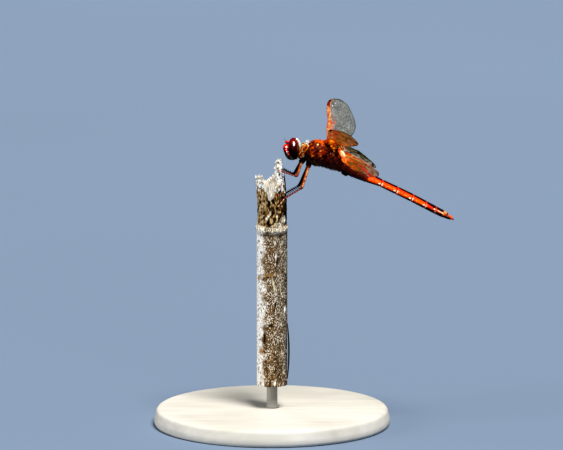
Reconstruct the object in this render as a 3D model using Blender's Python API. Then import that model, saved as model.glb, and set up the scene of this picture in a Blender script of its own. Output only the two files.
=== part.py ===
"""A life-size Needham's skimmer dragonfly, a red-orange male, gripping the splintered top of a dry reed on a stand.

Sizes are in millimetres, and solid() stores them in metres. The stand's underside is at z = 0, the reed stands on
the z axis and the insect clings to its +x side, facing -x, with its left side towards -y.
Body frame: +x runs back along the abdomen from its root, +y is the insect's right and +z its back.
Head frame: the same directions for a level head, from the middle between the eyes.
"""

from itertools import pairwise
from math import cos, degrees, exp, pi, radians, sin

import bmesh
import bpy
from mathutils import Matrix, Vector

MM = 0.001
GAP = 0.08  # between pieces that touch
SIDES = {"left": -1, "right": 1}

# Stand and reed
BASE_RADIUS = 35.0
BASE_HEIGHT = 5.0
ROD_RADIUS = 1.6
ROD_LENGTH = 7.0
REED_LENGTH = 62.0
REED_RADIUS = 4.55
REED_BORE = 3.15
REED_SIDES = 28
NODE_DROP = 14.9  # from the rim down to the reed's node ring
NODE_SWELL = (0.38, 0.75)  # how proud the ring stands and its half-height
NECKED = 0.2  # the reed is thinner by this above its node, and by THINNED below
THINNED = 0.05
PLAIN_LEVELS = (-REED_LENGTH, -45.0, -30.0)
NODE_STEPS = (-1.6, -0.8, 0.0, 0.8, 1.6)
RIM_SLOPE = 0.3  # the broken wall's top slopes down to the bore by this
BREAK_START = -10.0  # below this the reed's wall is level all round
BORE_DEPTH = 13.0
# The broken rim's height over the rim's level, by the angle in degrees from +x round the reed
RIM_HEIGHTS = (
    (-180, 0.3), (-150, 1.0), (-130, 1.1), (-117, -1.2), (-96, -4.3), (-80, -2.8), (-68, -0.2), (-58, 3.4),
    (-45, 5.7), (-15, 6.0), (12, 5.4), (38, 4.2), (56, 2.8), (70, 1.2), (88, 0.0), (108, -1.1), (135, -0.9),
    (152, 0.5), (180, 0.3),
)
TOP_LEAN = 0.5  # the reed's broken top is pushed towards -x by this much
LEAN_START = -7.0  # which starts this far from the rim
SHARD_LEAN = 0.17  # and the standing splinter by this much more for each millimetre above the rim
REED_FOOT = BASE_HEIGHT + ROD_LENGTH
RIM = REED_FOOT + REED_LENGTH

# Body pose
ABDOMEN_ROOT = Vector((20.1, 0.0, RIM + 4.5))
BODY_PITCH = radians(26.8)
BODY_ROLL = radians(-4.3)
HEAD_CENTRE = Vector((6.2, 0.0, RIM + 8.6))
HEAD_PITCH = radians(3.0)
BODY = Matrix.Translation(ABDOMEN_ROOT) @ Matrix.Rotation(BODY_PITCH, 4, "Y") @ Matrix.Rotation(BODY_ROLL, 4, "X")
HEAD = Matrix.Translation(HEAD_CENTRE) @ Matrix.Rotation(HEAD_PITCH, 4, "Y") @ Matrix.Rotation(BODY_ROLL, 4, "X")

# Head: each part's centre and half-sizes along x, y and z, earlier ones cutting later ones
EYE_CENTRE = Vector((-0.05, 2.1, 0.1))
EYE_SIZE = Vector((1.95, 2.2, 3.25))
EYE_TILT = radians(20.0)  # the tops of the eyes lean in until they meet
EYE_SEAM = radians(4.0)  # turns the mesh of each eye, so that no point lies on another piece's
EYE_FRONT = 0.78  # each eye is flatter in front than behind by this
HEAD_PARTS = {
    "vertex": ((-1.85, 0.0, 1.98), (0.7, 0.68, 0.48)),
    "frons": ((-1.65, 0.0, 0.85), (1.33, 1.75, 0.85)),
    "clypeus": ((-1.75, 0.0, -0.3), (1.2, 1.95, 0.75)),
    "labrum": ((-1.45, 0.0, -1.4), (1.1, 1.85, 0.95)),
    "labium": ((-0.5, 0.0, -2.2), (1.35, 2.0, 1.05)),
    "head": ((0.5, 0.0, -0.1), (1.4, 3.2, 2.9)),
}
ANTENNA_POINTS = ((-1.7, 1.0, 1.5), (-2.4, 1.2, 2.5), (-3.0, 1.6, 3.3))
ANTENNA_RADIUS = 0.26

# Thorax: stations of (x and z of the back, x and z of the underside, half-width), front to rear
THORAX = (
    ((-11.0, 1.3), (-11.0, -2.6), 1.5),
    ((-10.2, 2.5), (-10.1, -3.7), 2.7),
    ((-8.9, 3.35), (-8.5, -4.3), 3.25),
    ((-7.4, 3.85), (-6.8, -4.4), 3.5),
    ((-5.6, 3.9), (-5.0, -3.9), 3.5),
    ((-3.6, 3.65), (-3.1, -3.4), 3.3),
    ((-1.6, 3.2), (-1.4, -3.1), 2.95),
    ((0.1, 2.5), (0.0, -2.75), 2.4),
    ((0.75, 2.0), (0.7, -2.1), 1.9),
)
NECK_PATH = ((-13.2, 0.0, -2.3), (-12.5, 0.0, -2.0), (-11.75, 0.0, -1.65))
NECK_RADIUS = 0.95
PROTHORAX_CENTRE = Vector((-11.75, 0.0, -1.5))
PROTHORAX_SIZE = Vector((0.62, 1.95, 2.2))
PROTHORAX_TILT = Matrix.Rotation(radians(-12), 3, "Y")
THORAX_WAIST = 1.12  # how far down it is widest, with 1 for halfway

# Abdomen: each segment's end, then the height of its back, depth of its underside and half-width there
ABDOMEN_START = (0.85, 1.95, 2.1, 2.0)
SEGMENTS = (
    (2.1, 2.05, 2.25, 2.3),
    (5.0, 1.85, 2.25, 2.45),
    (9.1, 1.3, 1.75, 2.0),
    (13.35, 1.15, 1.05, 2.0),
    (18.35, 1.32, 1.0, 2.1),
    (23.4, 1.38, 0.94, 2.1),
    (27.9, 1.28, 1.0, 1.95),
    (31.2, 1.18, 1.05, 1.7),
    (33.8, 1.1, 1.0, 1.35),
    (35.3, 0.9, 0.75, 1.05),
)
ABDOMEN_WAIST = 1.3
SEGMENT_SHAPE = ((0.0, 0.93), (0.12, 0.99), (0.5, 1.0), (0.9, 1.0), (1.0, 1.05))  # swelling along a segment
HAMULES_CENTRE = (2.6, 0.0, -2.15)
HAMULES_SIZE = (1.25, 0.85, 0.8)
CERCUS_LENGTH = 2.3
CERCUS_ROOT = (0.42, 0.32)  # sideways from the middle and up
CERCUS_BOW = 0.22
CERCUS_DROOP = 0.5
CERCUS_RADII = ((0.0, 0.2), (0.25, 0.33), (0.55, 0.36), (0.85, 0.26), (1.0, 0.12))  # by the share of its length
EPIPROCT_LENGTH = 1.7
EPIPROCT_DROP = 0.42
EPIPROCT_RADII = ((0.0, 0.36), (0.4, 0.34), (0.8, 0.22), (1.0, 0.1))

# Wings: x and z of the leading edge's root, length, widest chord and where it is, root's share of it, the two
# powers that round off the tip and the one that fills the base, how far the tip lies behind the leading edge
WINGS = {
    "fore": (-6.3, 3.95, 42.5, 9.35, 0.57, 0.36, 1.65, 3.1, 1.8, 3.0),
    "hind": (-2.3, 3.05, 41.0, 12.6, 0.26, 0.36, 2.2, 2.6, 2.2, 4.8),
}
# Rise, forward sweep and twist of each wing in degrees
WING_POSES = {
    "fore_left": (9.0, 6.3, 6.3),
    "fore_right": (13.2, 4.0, 4.2),
    "hind_left": (-0.7, -0.5, 2.0),
    "hind_right": (-0.3, -4.5, -1.4),
}
WING_THICKNESS = 0.5
WING_ROOT_Y = 0.9
WING_CAMBER = 0.3
WING_BOW = 0.15
TIP_CURVE = 14  # how late along the wing its leading edge turns back to the tip
NODUS = 0.46  # share of the length at which the leading edge is notched, with the notch's depth and half-width
NOTCH = (0.4, 0.1)
SPAN_STEPS = 18
CHORD_STEPS = 4

# Legs: hip and end of the coxa in the body frame, then the knee from the reed's rim, for the right side
COXA_RADIUS = 0.85
FEMUR_RADIUS = 0.45
FRONT_FEMUR_RADIUS = 0.36
TIBIA_RADIUS = 0.3
TARSUS_RADIUS = 0.26
KNEE_BEND = 0.7
MID_COXA = ((-10.2, 0.8, -3.6), (-10.4, 1.15, -4.9))
HIND_COXA = ((-8.4, 0.8, -3.7), (-8.0, 1.2, -4.9))
FRONT_COXA = ((-11.7, 0.9, -2.5), (-11.5, 2.2, -3.8))
MID_KNEES = {"left": (7.3, -3.0, 0.9), "right": (6.4, 3.0, 0.5)}
HIND_KNEES = {"left": (8.8, -3.8, -2.4), "right": (8.05, 3.6, -2.9)}
MID_GRIP = (36.0, 62.0, 2.4, 3.2)  # first and last angle round the reed, first and last height over its rim
HIND_GRIPS = {"left": (38.0, 70.0, -5.7, -8.0), "right": (38.0, 70.0, -5.3, -7.5)}
FRONT_KNEES = ((-10.75, 3.35, -0.1), (-11.35, 3.45, 0.5), (-11.95, 3.35, -0.1))
FRONT_TIBIA_END = (-12.2, 3.1, -3.1)
FRONT_TARSUS_END = (-12.1, 2.4, -4.5)


def lerp(first, last, share):
    return first + (last - first) * share


def clear_scene():
    for obj in list(bpy.data.objects):
        bpy.data.objects.remove(obj)


def material(name, colour, roughness, alpha=1.0):
    made = bpy.data.materials.new(name)
    made.use_nodes = True
    shader = made.node_tree.nodes["Principled BSDF"]
    shader.inputs["Base Color"].default_value = (*colour, 1.0)
    shader.inputs["Roughness"].default_value = roughness
    shader.inputs["Metallic"].default_value = 0.0
    shader.inputs["Alpha"].default_value = alpha
    made.diffuse_color = (*colour, alpha)
    return made


def frame_empty(name, matrix):
    """An empty that carries the pieces modelled in its frame."""
    empty = bpy.data.objects.new(name, None)
    bpy.context.scene.collection.objects.link(empty)
    empty.matrix_world = Matrix.Translation(matrix.translation * MM) @ matrix.to_3x3().to_4x4()
    return empty


def solid(name, bm, finish, frame=None, smooth=40.0):
    """The object of a bmesh in millimetres, riding on a frame's empty."""
    bmesh.ops.recalc_face_normals(bm, faces=bm.faces)
    bmesh.ops.scale(bm, vec=(MM, MM, MM), verts=bm.verts)
    mesh = bpy.data.meshes.new(name)
    bm.to_mesh(mesh)
    bm.free()
    mesh.materials.append(finish)
    mesh.shade_smooth()
    mesh.set_sharp_from_angle(angle=radians(smooth))
    obj = bpy.data.objects.new(name, mesh)
    bpy.context.scene.collection.objects.link(obj)
    obj.parent = frame
    return obj


def cut(obj, cutter):
    """Takes the cutter's shape out of an object and hides the cutter."""
    cutter.hide_render = True
    cutter.display_type = "WIRE"
    modifier = obj.modifiers.new(f"cut_{cutter.name}", "BOOLEAN")
    modifier.operation = "DIFFERENCE"
    modifier.object = cutter
    return obj


def loft(rings):
    """A bmesh closed through rings of equally many points, with a flat face at each end."""
    bm = bmesh.new()
    loops = [[bm.verts.new(point) for point in ring] for ring in rings]
    for first, second in pairwise(loops):
        for k in range(len(first)):
            bm.faces.new((first[k - 1], first[k], second[k], second[k - 1]))
    bm.faces.new(loops[0])
    bm.faces.new(reversed(loops[-1]))
    return bm


def ellipsoid(centre, size, around=15, along=9, reshape=None, turn=0.0):
    """A bmesh ball of half-sizes along x, y and z, whose points may be moved by reshape. The turn sets where round
    its poles the columns of points stand."""
    bm = bmesh.new()
    spin = Matrix.Rotation(turn, 4, "Z")
    bmesh.ops.create_uvsphere(bm, u_segments=around, v_segments=along, radius=1.0, matrix=spin)
    for vert in bm.verts:
        point = Vector(vert.co) * Vector(size)
        vert.co = (reshape(point) if reshape else point) + Vector(centre)
    return bm


def rounded(points, radii, bend, steps=2):
    """A path through points with a radius for each straight length, each corner turned into a short curve that
    starts and ends bend from it. It returns the path's points and the radius at each."""
    points = [Vector(point) for point in points]
    path, sizes = [points[0]], [radii[0]]
    for k, corner in enumerate(points[1:-1]):
        into, out = points[k] - corner, points[k + 2] - corner
        start = corner + into.normalized() * min(bend, into.length * 0.45)
        end = corner + out.normalized() * min(bend, out.length * 0.45)
        for u in (step / steps for step in range(steps + 1)):
            path.append(lerp(lerp(start, corner, u), lerp(corner, end, u), u))
            sizes.append(lerp(radii[k], radii[k + 1], u))
    return [*path, points[-1]], [*sizes, radii[-1]]


def tube(points, radii, sides=8):
    """A bmesh tube along points, each with its own radius, that doesn't twist."""
    tangents = [(b - a).normalized() for a, b in pairwise(points)]
    tangents = [tangents[0]] + [(a + b).normalized() for a, b in pairwise(tangents)] + [tangents[-1]]
    side = tangents[0].orthogonal().normalized()
    rings = []
    for point, tangent, radius in zip(points, tangents, radii):
        side = (side - tangent * side.dot(tangent)).normalized()
        other = tangent.cross(side)
        turns = [2 * pi * k / sides for k in range(sides)]
        rings.append([point + (side * cos(t) + other * sin(t)) * radius for t in turns])
    return loft(rings)


def egg_ring(back, belly, half_width, waist, count):
    """Points round a body's cross-section: back and belly are its middle's (x, z) ends, and waist sets how far
    down it is widest, with 1 for halfway."""
    ring = []
    for k in range(count):
        turn = 2 * k / count
        down = turn if turn <= 1 else 2 - turn
        side = 1 if turn <= 1 else -1
        share = (1 - cos(pi * down)) / 2
        width = half_width * sin(pi * down**waist)
        ring.append((lerp(back[0], belly[0], share), side * width, lerp(back[1], belly[1], share)))
    return ring


def make_stand(finish):
    bm = bmesh.new()
    bmesh.ops.create_cone(
        bm, cap_ends=True, segments=48, radius1=BASE_RADIUS, radius2=BASE_RADIUS, depth=BASE_HEIGHT,
        matrix=Matrix.Translation((0, 0, BASE_HEIGHT / 2)))
    base = solid("stand_base", bm, finish, smooth=60)
    bevel = base.modifiers.new("rounded_edge", "BEVEL")
    bevel.width = 0.6 * MM
    bevel.segments = 1
    bevel.limit_method = "ANGLE"
    bm = bmesh.new()
    bmesh.ops.create_cone(
        bm, cap_ends=True, segments=20, radius1=ROD_RADIUS, radius2=ROD_RADIUS, depth=ROD_LENGTH - 2 * GAP,
        matrix=Matrix.Translation((0, 0, BASE_HEIGHT + ROD_LENGTH / 2)))
    solid("stand_rod", bm, finish)


def rim_height(angle):
    """The height of the broken rim over the rim's level, at an angle from -pi to pi round the reed."""
    for (before, low), (after, high) in pairwise(RIM_HEIGHTS):
        if degrees(angle) <= after:
            return lerp(low, high, (degrees(angle) - before) / (after - before))
    return RIM_HEIGHTS[-1][1]


def reed_radius(height):
    """Outer radius by height over the rim: thinner above the node ring, which stands proud."""
    above = height + NODE_DROP
    swell, reach = NODE_SWELL
    return REED_RADIUS - (NECKED if above > 0 else THINNED) + swell * exp(-((above / reach) ** 2))


def reed_point(radius, angle, height):
    lean = TOP_LEAN * min(1.0, max(0.0, 1 - height / LEAN_START)) + SHARD_LEAN * max(0.0, height)
    return Vector((radius * cos(angle) - lean, radius * sin(angle), RIM + height))


def make_reed(finish):
    turns = [2 * pi * k / REED_SIDES - pi for k in range(REED_SIDES)]
    levels = [*PLAIN_LEVELS, *(step - NODE_DROP for step in NODE_STEPS), BREAK_START]
    rings = [[reed_point(reed_radius(level), turn, level) for turn in turns] for level in levels]
    for share in (0.35, 0.7, 1.0):
        rings.append([reed_point(reed_radius(0), t, lerp(BREAK_START, rim_height(t), share)) for t in turns])
    for share in (1.0, 0.5, 0.0):
        rings.append([reed_point(REED_BORE, t, lerp(-BORE_DEPTH, rim_height(t) - RIM_SLOPE, share)) for t in turns])
    solid("perch_reed", loft(rings), finish, smooth=60)


def eye_shape(side, grow=0.0):
    """The compound eye: a tall ball leaning in to the middle, where it is flattened against the other one unless
    it is grown."""
    inner = -EYE_SIZE.z if grow else GAP / 2 - EYE_CENTRE.y

    def lean(point):
        y, z = point.y, point.z
        y, z = y * cos(EYE_TILT) - z * sin(EYE_TILT), z * cos(EYE_TILT) + y * sin(EYE_TILT)
        return Vector((point.x * (EYE_FRONT if point.x < 0 else 1), side * max(y, inner), z))

    centre = EYE_CENTRE * Vector((1, side, 1))
    size = EYE_SIZE + Vector((grow, grow, grow))
    return ellipsoid(centre, size, around=18, along=12, reshape=lean, turn=side * EYE_SEAM + 0.1)


def make_head(frame, shell, eye_finish):
    """The eyes, then each part of the face and the head behind them, cut free of all the parts before it."""
    cutters = []
    for name, side in SIDES.items():
        solid(f"eye_{name}", eye_shape(side), eye_finish, frame)
        cutters.append(solid(f"eye_{name}_cutter", eye_shape(side, GAP), eye_finish, frame))
    for number, (name, (centre, size)) in enumerate(HEAD_PARTS.items()):
        turn = radians(5.0 * number + 3.0)
        piece = solid(name, ellipsoid(centre, size, turn=turn), shell, frame)
        for cutter in cutters:
            cut(piece, cutter)
        grown = Vector(size) + Vector((GAP, GAP, GAP))
        cutters.append(solid(f"{name}_cutter", ellipsoid(centre, grown, turn=turn), shell, frame))
    for name, side in SIDES.items():
        points = [Vector((x, side * y, z)) for x, y, z in ANTENNA_POINTS]
        path, radii = rounded(points, (ANTENNA_RADIUS, ANTENNA_RADIUS), 0.5)
        antenna = solid(f"antenna_{name}", tube(path, radii, 6), shell, frame)
        for cutter in cutters:
            cut(antenna, cutter)
    return cutters


def thorax_shape(grow=0.0):
    rings = []
    for k, (back, belly, half_width) in enumerate(THORAX):
        end = {0: -grow, len(THORAX) - 1: grow}.get(k, 0.0)
        top = (back[0] + end, back[1] + grow)
        bottom = (belly[0] + end, belly[1] - grow)
        rings.append(egg_ring(top, bottom, half_width + grow, THORAX_WAIST, 18))
    return loft(rings)


def make_thorax(frame, finish, head_cutters):
    """The thorax, and the neck and prothorax between it and the head. It returns the thorax and the prothorax, each
    grown as a cutter."""
    solid("thorax", thorax_shape(), finish, frame)
    thorax_cutter = solid("thorax_cutter", thorax_shape(GAP), finish, frame)
    prothorax, pro_cutter = (
        solid(name, ellipsoid(PROTHORAX_CENTRE, PROTHORAX_SIZE + Vector((grow, grow, grow)), reshape=tilted),
              finish, frame)
        for name, grow in (("prothorax", 0.0), ("prothorax_cutter", GAP)))
    for cutter in (thorax_cutter, *head_cutters):
        cut(prothorax, cutter)
    neck = solid("neck", tube([Vector(p) for p in NECK_PATH], [NECK_RADIUS] * 3, 10), finish, frame)
    for cutter in (*head_cutters, thorax_cutter, pro_cutter):
        cut(neck, cutter)
    return thorax_cutter, pro_cutter


def tilted(point):
    return PROTHORAX_TILT @ point


def abdomen_rings(start, end, grow=0.0):
    """Rings of one segment between two (x, back, belly, half-width) stations: it widens from a tucked-in front
    edge and ends in a slightly flared rim."""
    rings = []
    for share, scale in SEGMENT_SHAPE:
        x = lerp(start[0] + GAP - grow, end[0] + grow, share)
        back, belly, width = (lerp(a, b, share) * scale + grow for a, b in zip(start[1:], end[1:]))
        rings.append(egg_ring((x, back), (x, -belly), width, ABDOMEN_WAIST, 14))
    return rings


def make_abdomen(frame, finish):
    """The segments, the genital lobe under the first two, and the claspers at the tail."""
    stations = [ABDOMEN_START, *SEGMENTS]
    for number, (start, end) in enumerate(pairwise(stations), 1):
        solid(f"abdomen_{number:02}", loft(abdomen_rings(start, end)), finish, frame)
    hamules = solid("hamules", ellipsoid(HAMULES_CENTRE, HAMULES_SIZE, 12, 8), finish, frame)
    for number in (0, 1):
        rings = abdomen_rings(stations[number], stations[number + 1], GAP)
        cut(hamules, solid(f"hamules_cutter_{number}", loft(rings), finish, frame))
    tail = SEGMENTS[-1][0] + GAP
    out, up = CERCUS_ROOT
    for name, side in SIDES.items():
        path = [
            Vector((tail + CERCUS_LENGTH * s, side * (out + CERCUS_BOW * sin(pi * s)), up - CERCUS_DROOP * s * s))
            for s, _ in CERCUS_RADII
        ]
        solid(f"cercus_{name}", tube(path, [radius for _, radius in CERCUS_RADII]), finish, frame)
    path = [Vector((tail + EPIPROCT_LENGTH * s, 0, -EPIPROCT_DROP + 0.1 * s)) for s, _ in EPIPROCT_RADII]
    solid("epiproct", tube(path, [radius for _, radius in EPIPROCT_RADII]), finish, frame)


def wing_edges(wing, share):
    """Where the leading and the trailing edge lie behind the wing's root line, at a share of its length."""
    *_, chord, widest, root, tip_a, tip_b, fill, tip_back = wing
    if share < widest:
        width = root + (1 - root) * (1 - (1 - share / widest) ** fill)
    else:
        width = max(0.0, 1 - ((share - widest) / (1 - widest)) ** tip_a) ** (1 / tip_b)
    lead = -WING_BOW * sin(pi * share) + tip_back * share**TIP_CURVE
    notch = NOTCH[0] * exp(-(((share - NODUS) / NOTCH[1]) ** 2))
    return lead + notch, lead + chord * width


def wing_matrix(wing, pose, side):
    """From wing axes (x back along the chord, y out along the span) to the body frame."""
    rise, sweep, twist = (radians(angle) for angle in pose)
    turned = Matrix.Rotation(side * rise, 4, "X") @ Matrix.Rotation(side * sweep, 4, "Z")
    root = Matrix.Translation((wing[0], side * WING_ROOT_Y, wing[1]))
    return root @ turned @ Matrix.Rotation(-twist, 4, "Y")


def make_wing(name, wing, side, frame, finish, cutter):
    """A thin curved plate from the wing's outline, thickened, with its root cut to the thorax."""
    bm = bmesh.new()
    rows = []
    for k in range(SPAN_STEPS + 1):
        share = sin(pi / 2 * k / SPAN_STEPS) * 0.996
        lead, trail = wing_edges(wing, share)
        row = []
        for j in range(CHORD_STEPS + 1):
            c = j / CHORD_STEPS
            row.append(bm.verts.new((lerp(lead, trail, c), side * share * wing[2], WING_CAMBER * sin(pi * c))))
        rows.append(row)
    for first, second in pairwise(rows):
        for j in range(CHORD_STEPS):
            bm.faces.new((first[j], first[j + 1], second[j + 1], second[j]))
    wing_object = solid(f"wing_{name}", bm, finish, frame)
    local = wing_matrix(wing, WING_POSES[name], side)
    wing_object.matrix_local = Matrix.Translation(local.translation * MM) @ local.to_3x3().to_4x4()
    thick = wing_object.modifiers.new("thickness", "SOLIDIFY")
    thick.thickness = WING_THICKNESS * MM
    thick.offset = 0
    cut(wing_object, cutter)


def grip_points(side, grip):
    """The tarsus's points round the reed's surface, from the tibia's end to the claws."""
    first, last, start, end = grip
    points = []
    for share in (0.0, 0.33, 0.67, 1.0):
        angle = side * radians(lerp(first, last, share))
        height = lerp(start, end, share)
        clear = REED_RADIUS - NECKED + TARSUS_RADIUS + GAP
        points.append(reed_point(clear, angle, height))
    return points


def make_legs(finish, cutters):
    """Middle and hind legs grip the reed, and the front pair is folded up behind the head."""
    rim = Vector((0, 0, RIM))
    for name, side in SIDES.items():
        mirror = Vector((1, side, 1))

        def in_body(point):
            return BODY @ (Vector(point) * mirror)

        legs = {
            "mid": (MID_COXA, [rim + Vector(MID_KNEES[name])], grip_points(side, MID_GRIP)),
            "hind": (HIND_COXA, [rim + Vector(HIND_KNEES[name])], grip_points(side, HIND_GRIPS[name])),
            "front": (
                FRONT_COXA, [in_body(p) for p in FRONT_KNEES], [in_body(FRONT_TIBIA_END), in_body(FRONT_TARSUS_END)]
            ),
        }
        for pair, (coxa, knee, foot) in legs.items():
            points = [*(in_body(point) for point in coxa), *knee, *foot]
            femur = FRONT_FEMUR_RADIUS if pair == "front" else FEMUR_RADIUS
            lengths = [COXA_RADIUS, *[femur] * len(knee), TIBIA_RADIUS, *[TARSUS_RADIUS] * (len(foot) - 1)]
            path, radii = rounded(points, lengths, KNEE_BEND)
            leg = solid(f"leg_{pair}_{name}", tube(path, radii, 7), finish)
            for cutter in cutters:
                cut(leg, cutter)


def main():
    clear_scene()
    wood = material("stand", (0.55, 0.52, 0.47), 0.5)
    reed = material("reed", (0.42, 0.35, 0.25), 0.85)
    shell = material("body_shell", (0.45, 0.12, 0.03), 0.35)
    red = material("abdomen_shell", (0.85, 0.11, 0.02), 0.3)
    eye = material("eye", (0.22, 0.01, 0.01), 0.12)
    leg = material("leg", (0.35, 0.11, 0.03), 0.35)
    wing = material("wing", (0.75, 0.6, 0.45), 0.25, 0.4)
    body_frame = frame_empty("body_frame", BODY)
    head_frame = frame_empty("head_frame", HEAD)
    make_stand(wood)
    make_reed(reed)
    head_cutters = make_head(head_frame, shell, eye)
    thorax_cutters = make_thorax(body_frame, shell, head_cutters)
    make_abdomen(body_frame, red)
    for pair, sizes in WINGS.items():
        for name, side in SIDES.items():
            make_wing(f"{pair}_{name}", sizes, side, body_frame, wing, thorax_cutters[0])
    make_legs(leg, (*thorax_cutters, *head_cutters))


main()
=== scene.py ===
"""The looks of the dragonfly on its reed: skins, wings, legs, hair, reed, stand, light and camera.

Lengths are in millimetres until an object is made. Body frame: +x runs back along the abdomen from its root,
+y is the insect's right and +z its back. Head frame: the same directions for a level head. Row frame: the CAD
model's. Colours in tables are 8-bit sRGB.
"""

import random
from itertools import pairwise
from math import cos, degrees, exp, pi, radians, sin, sqrt

import bpy
import numpy as np
from mathutils import Matrix, Vector, noise


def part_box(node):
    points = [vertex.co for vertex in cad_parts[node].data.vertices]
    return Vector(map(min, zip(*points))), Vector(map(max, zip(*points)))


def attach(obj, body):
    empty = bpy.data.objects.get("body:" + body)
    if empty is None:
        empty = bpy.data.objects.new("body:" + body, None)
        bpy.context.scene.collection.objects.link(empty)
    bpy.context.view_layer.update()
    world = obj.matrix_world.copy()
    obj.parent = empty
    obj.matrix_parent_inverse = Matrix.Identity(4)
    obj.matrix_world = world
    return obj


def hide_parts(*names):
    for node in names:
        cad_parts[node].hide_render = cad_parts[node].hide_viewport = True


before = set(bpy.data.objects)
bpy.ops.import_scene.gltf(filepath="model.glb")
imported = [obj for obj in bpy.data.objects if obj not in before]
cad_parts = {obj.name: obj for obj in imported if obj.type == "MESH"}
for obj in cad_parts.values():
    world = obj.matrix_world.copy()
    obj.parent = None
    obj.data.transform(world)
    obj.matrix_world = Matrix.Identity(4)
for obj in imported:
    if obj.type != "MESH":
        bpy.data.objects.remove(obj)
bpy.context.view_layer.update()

MM = 0.001
SIDES = {"left": -1, "right": 1}
# The radius of the patch of the unwrap that a tuft's hairs share
UV_PATCH = 0.0014

# The frame of the parts, as the CAD model has it
REED_LENGTH = 62.0
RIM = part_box("perch_reed")[0].z / MM + REED_LENGTH
ABDOMEN_ROOT = Vector((20.1, 0.0, RIM + 4.5))
BODY_PITCH, BODY_ROLL = radians(26.8), radians(-4.3)
HEAD_CENTRE, HEAD_PITCH = Vector((6.2, 0.0, RIM + 8.6)), radians(3.0)
ROLL = Matrix.Rotation(BODY_ROLL, 4, "X")
BODY = Matrix.Translation(ABDOMEN_ROOT) @ Matrix.Rotation(BODY_PITCH, 4, "Y") @ ROLL
HEAD = Matrix.Translation(HEAD_CENTRE) @ Matrix.Rotation(HEAD_PITCH, 4, "Y") @ ROLL
ROW = Matrix.Identity(4)


# ---------------------------------------------------------------- numbers and colours


def lerp(first, last, share):
    return first + (last - first) * share


def unit(value):
    return np.clip(value, 0, 1)


def ease(low, high, value):
    """A smooth step from 0 at low to 1 at high, which may lie either way round."""
    share = unit((value - low) / (high - low))
    return share * share * (3 - 2 * share)


def bell(value, centre, width):
    return np.exp(-(((value - centre) / width) ** 2))


def axes(points):
    return np.moveaxis(np.asarray(points), -1, 0)


def colour(red, green, blue):
    """A linear colour from 8-bit sRGB."""
    shares = np.array((red, green, blue)) / 255
    return np.where(shares <= 0.04045, shares / 12.92, ((shares + 0.055) / 1.055) ** 2.4)


def mix(first, last, share):
    """From one colour to another by a share for each point, where a tuple is an 8-bit sRGB colour."""
    first, last = (colour(*tone) if isinstance(tone, tuple) else tone for tone in (first, last))
    return first + (np.asarray(last) - first) * np.asarray(share)[..., None]


def layers(tint, *coats):
    """A tint under coats of other colours, each with the share of it that shows."""
    for tone, share in coats:
        tint = mix(tint, tone, share)
    return tint


def along_table(table, places):
    """A smooth curve through a table's rows, read at places counted in rows."""
    table = np.asarray(table, float)
    places = np.clip(np.asarray(places, float), 0, len(table) - 1)
    k = np.minimum(places.astype(int), len(table) - 2)
    t = (places - k)[:, None]
    a, b, c, d = (table[np.clip(k + step, 0, len(table) - 1)] for step in (-1, 0, 1, 2))
    return 0.5 * (2 * b + (c - a) * t + (2 * a - 5 * b + 4 * c - d) * t**2 + (3 * b - a - 3 * c + d) * t**3)


def fuzz(points, scale, seed=0.0, octaves=3):
    """Fractal noise from about -1 to 1 at each point."""
    flat = np.asarray(points, float).reshape(-1, 3) * scale + seed
    values = [noise.fractal(Vector(p), 1.0, 2.0, octaves) for p in flat]
    return np.array(values).reshape(np.asarray(points).shape[:-1])


# ---------------------------------------------------------------- surfaces


def round_side(around):
    """How far down a ring each of its points is, from 0 on top to 1 below, and on which side."""
    turn = 2 * np.arange(around) / around
    return np.where(turn <= 1, turn, 2 - turn), np.where(turn <= 1, 1.0, -1.0)


def egg_rings(tops, bottoms, widths, waist, around):
    """Cross-sections of a body from tops and bottoms as (x, z) rows; waist sets how low it is widest."""
    down, side = round_side(around)
    share = (1 - np.cos(pi * down)) / 2
    middle = tops[:, None, :] + (bottoms - tops)[:, None, :] * share[None, :, None]
    y = side * widths[:, None] * np.sin(pi * down**waist)
    return np.stack([middle[..., 0], y, middle[..., 1]], -1)


def lathe(outline, around):
    """Rings of points round the z axis from an outline of radii and heights."""
    turns = 2 * pi * np.arange(around) / around
    return np.array([[(r * cos(t), r * sin(t), z) for t in turns] for r, z in outline])


def normals_of(grid):
    """Outward unit normals of a grid of points that closes round its second axis."""
    along = np.gradient(grid, axis=0)
    found = np.cross(along, np.roll(grid, -1, 1) - np.roll(grid, 1, 1))
    found /= np.maximum(np.linalg.norm(found, axis=-1, keepdims=True), 1e-9)
    outward = grid - grid.mean(1, keepdims=True)
    return found * np.sign((found * outward).sum())


def relief(grid, height):
    return grid + normals_of(grid) * np.asarray(height)[..., None]


def ball(centre, size, around, along, lean=0.0):
    """A grid over an ellipsoid from top to bottom, leaning towards the middle plane."""
    down = np.linspace(0.02, pi - 0.02, along)[:, None]
    turn = 2 * pi * np.arange(around)[None, :] / around
    x = size[0] * np.sin(down) * np.cos(turn)
    y = size[1] * np.sin(down) * np.sin(turn)
    z = size[2] * np.cos(down) * np.ones_like(turn)
    y, z = y * cos(lean) - z * sin(lean), z * cos(lean) + y * sin(lean)
    return np.stack([x, y, z], -1) + centre


def mirrored(points, side):
    return [Vector((x, side * y, z)) for x, y, z in points]


def rounded(points, radii, bend, steps=6):
    """A path through points with a radius for each straight length, and each corner a short curve."""
    points = [Vector(point) for point in points]
    path, sizes = [points[0]], [radii[0]]
    for k, corner in enumerate(points[1:-1]):
        into, out = points[k] - corner, points[k + 2] - corner
        start = corner + into.normalized() * min(bend, into.length * 0.45)
        end = corner + out.normalized() * min(bend, out.length * 0.45)
        for u in (step / steps for step in range(steps + 1)):
            path.append(lerp(lerp(start, corner, u), lerp(corner, end, u), u))
            sizes.append(lerp(radii[k], radii[k + 1], u))
    return [*path, points[-1]], [*sizes, radii[-1]]


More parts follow.
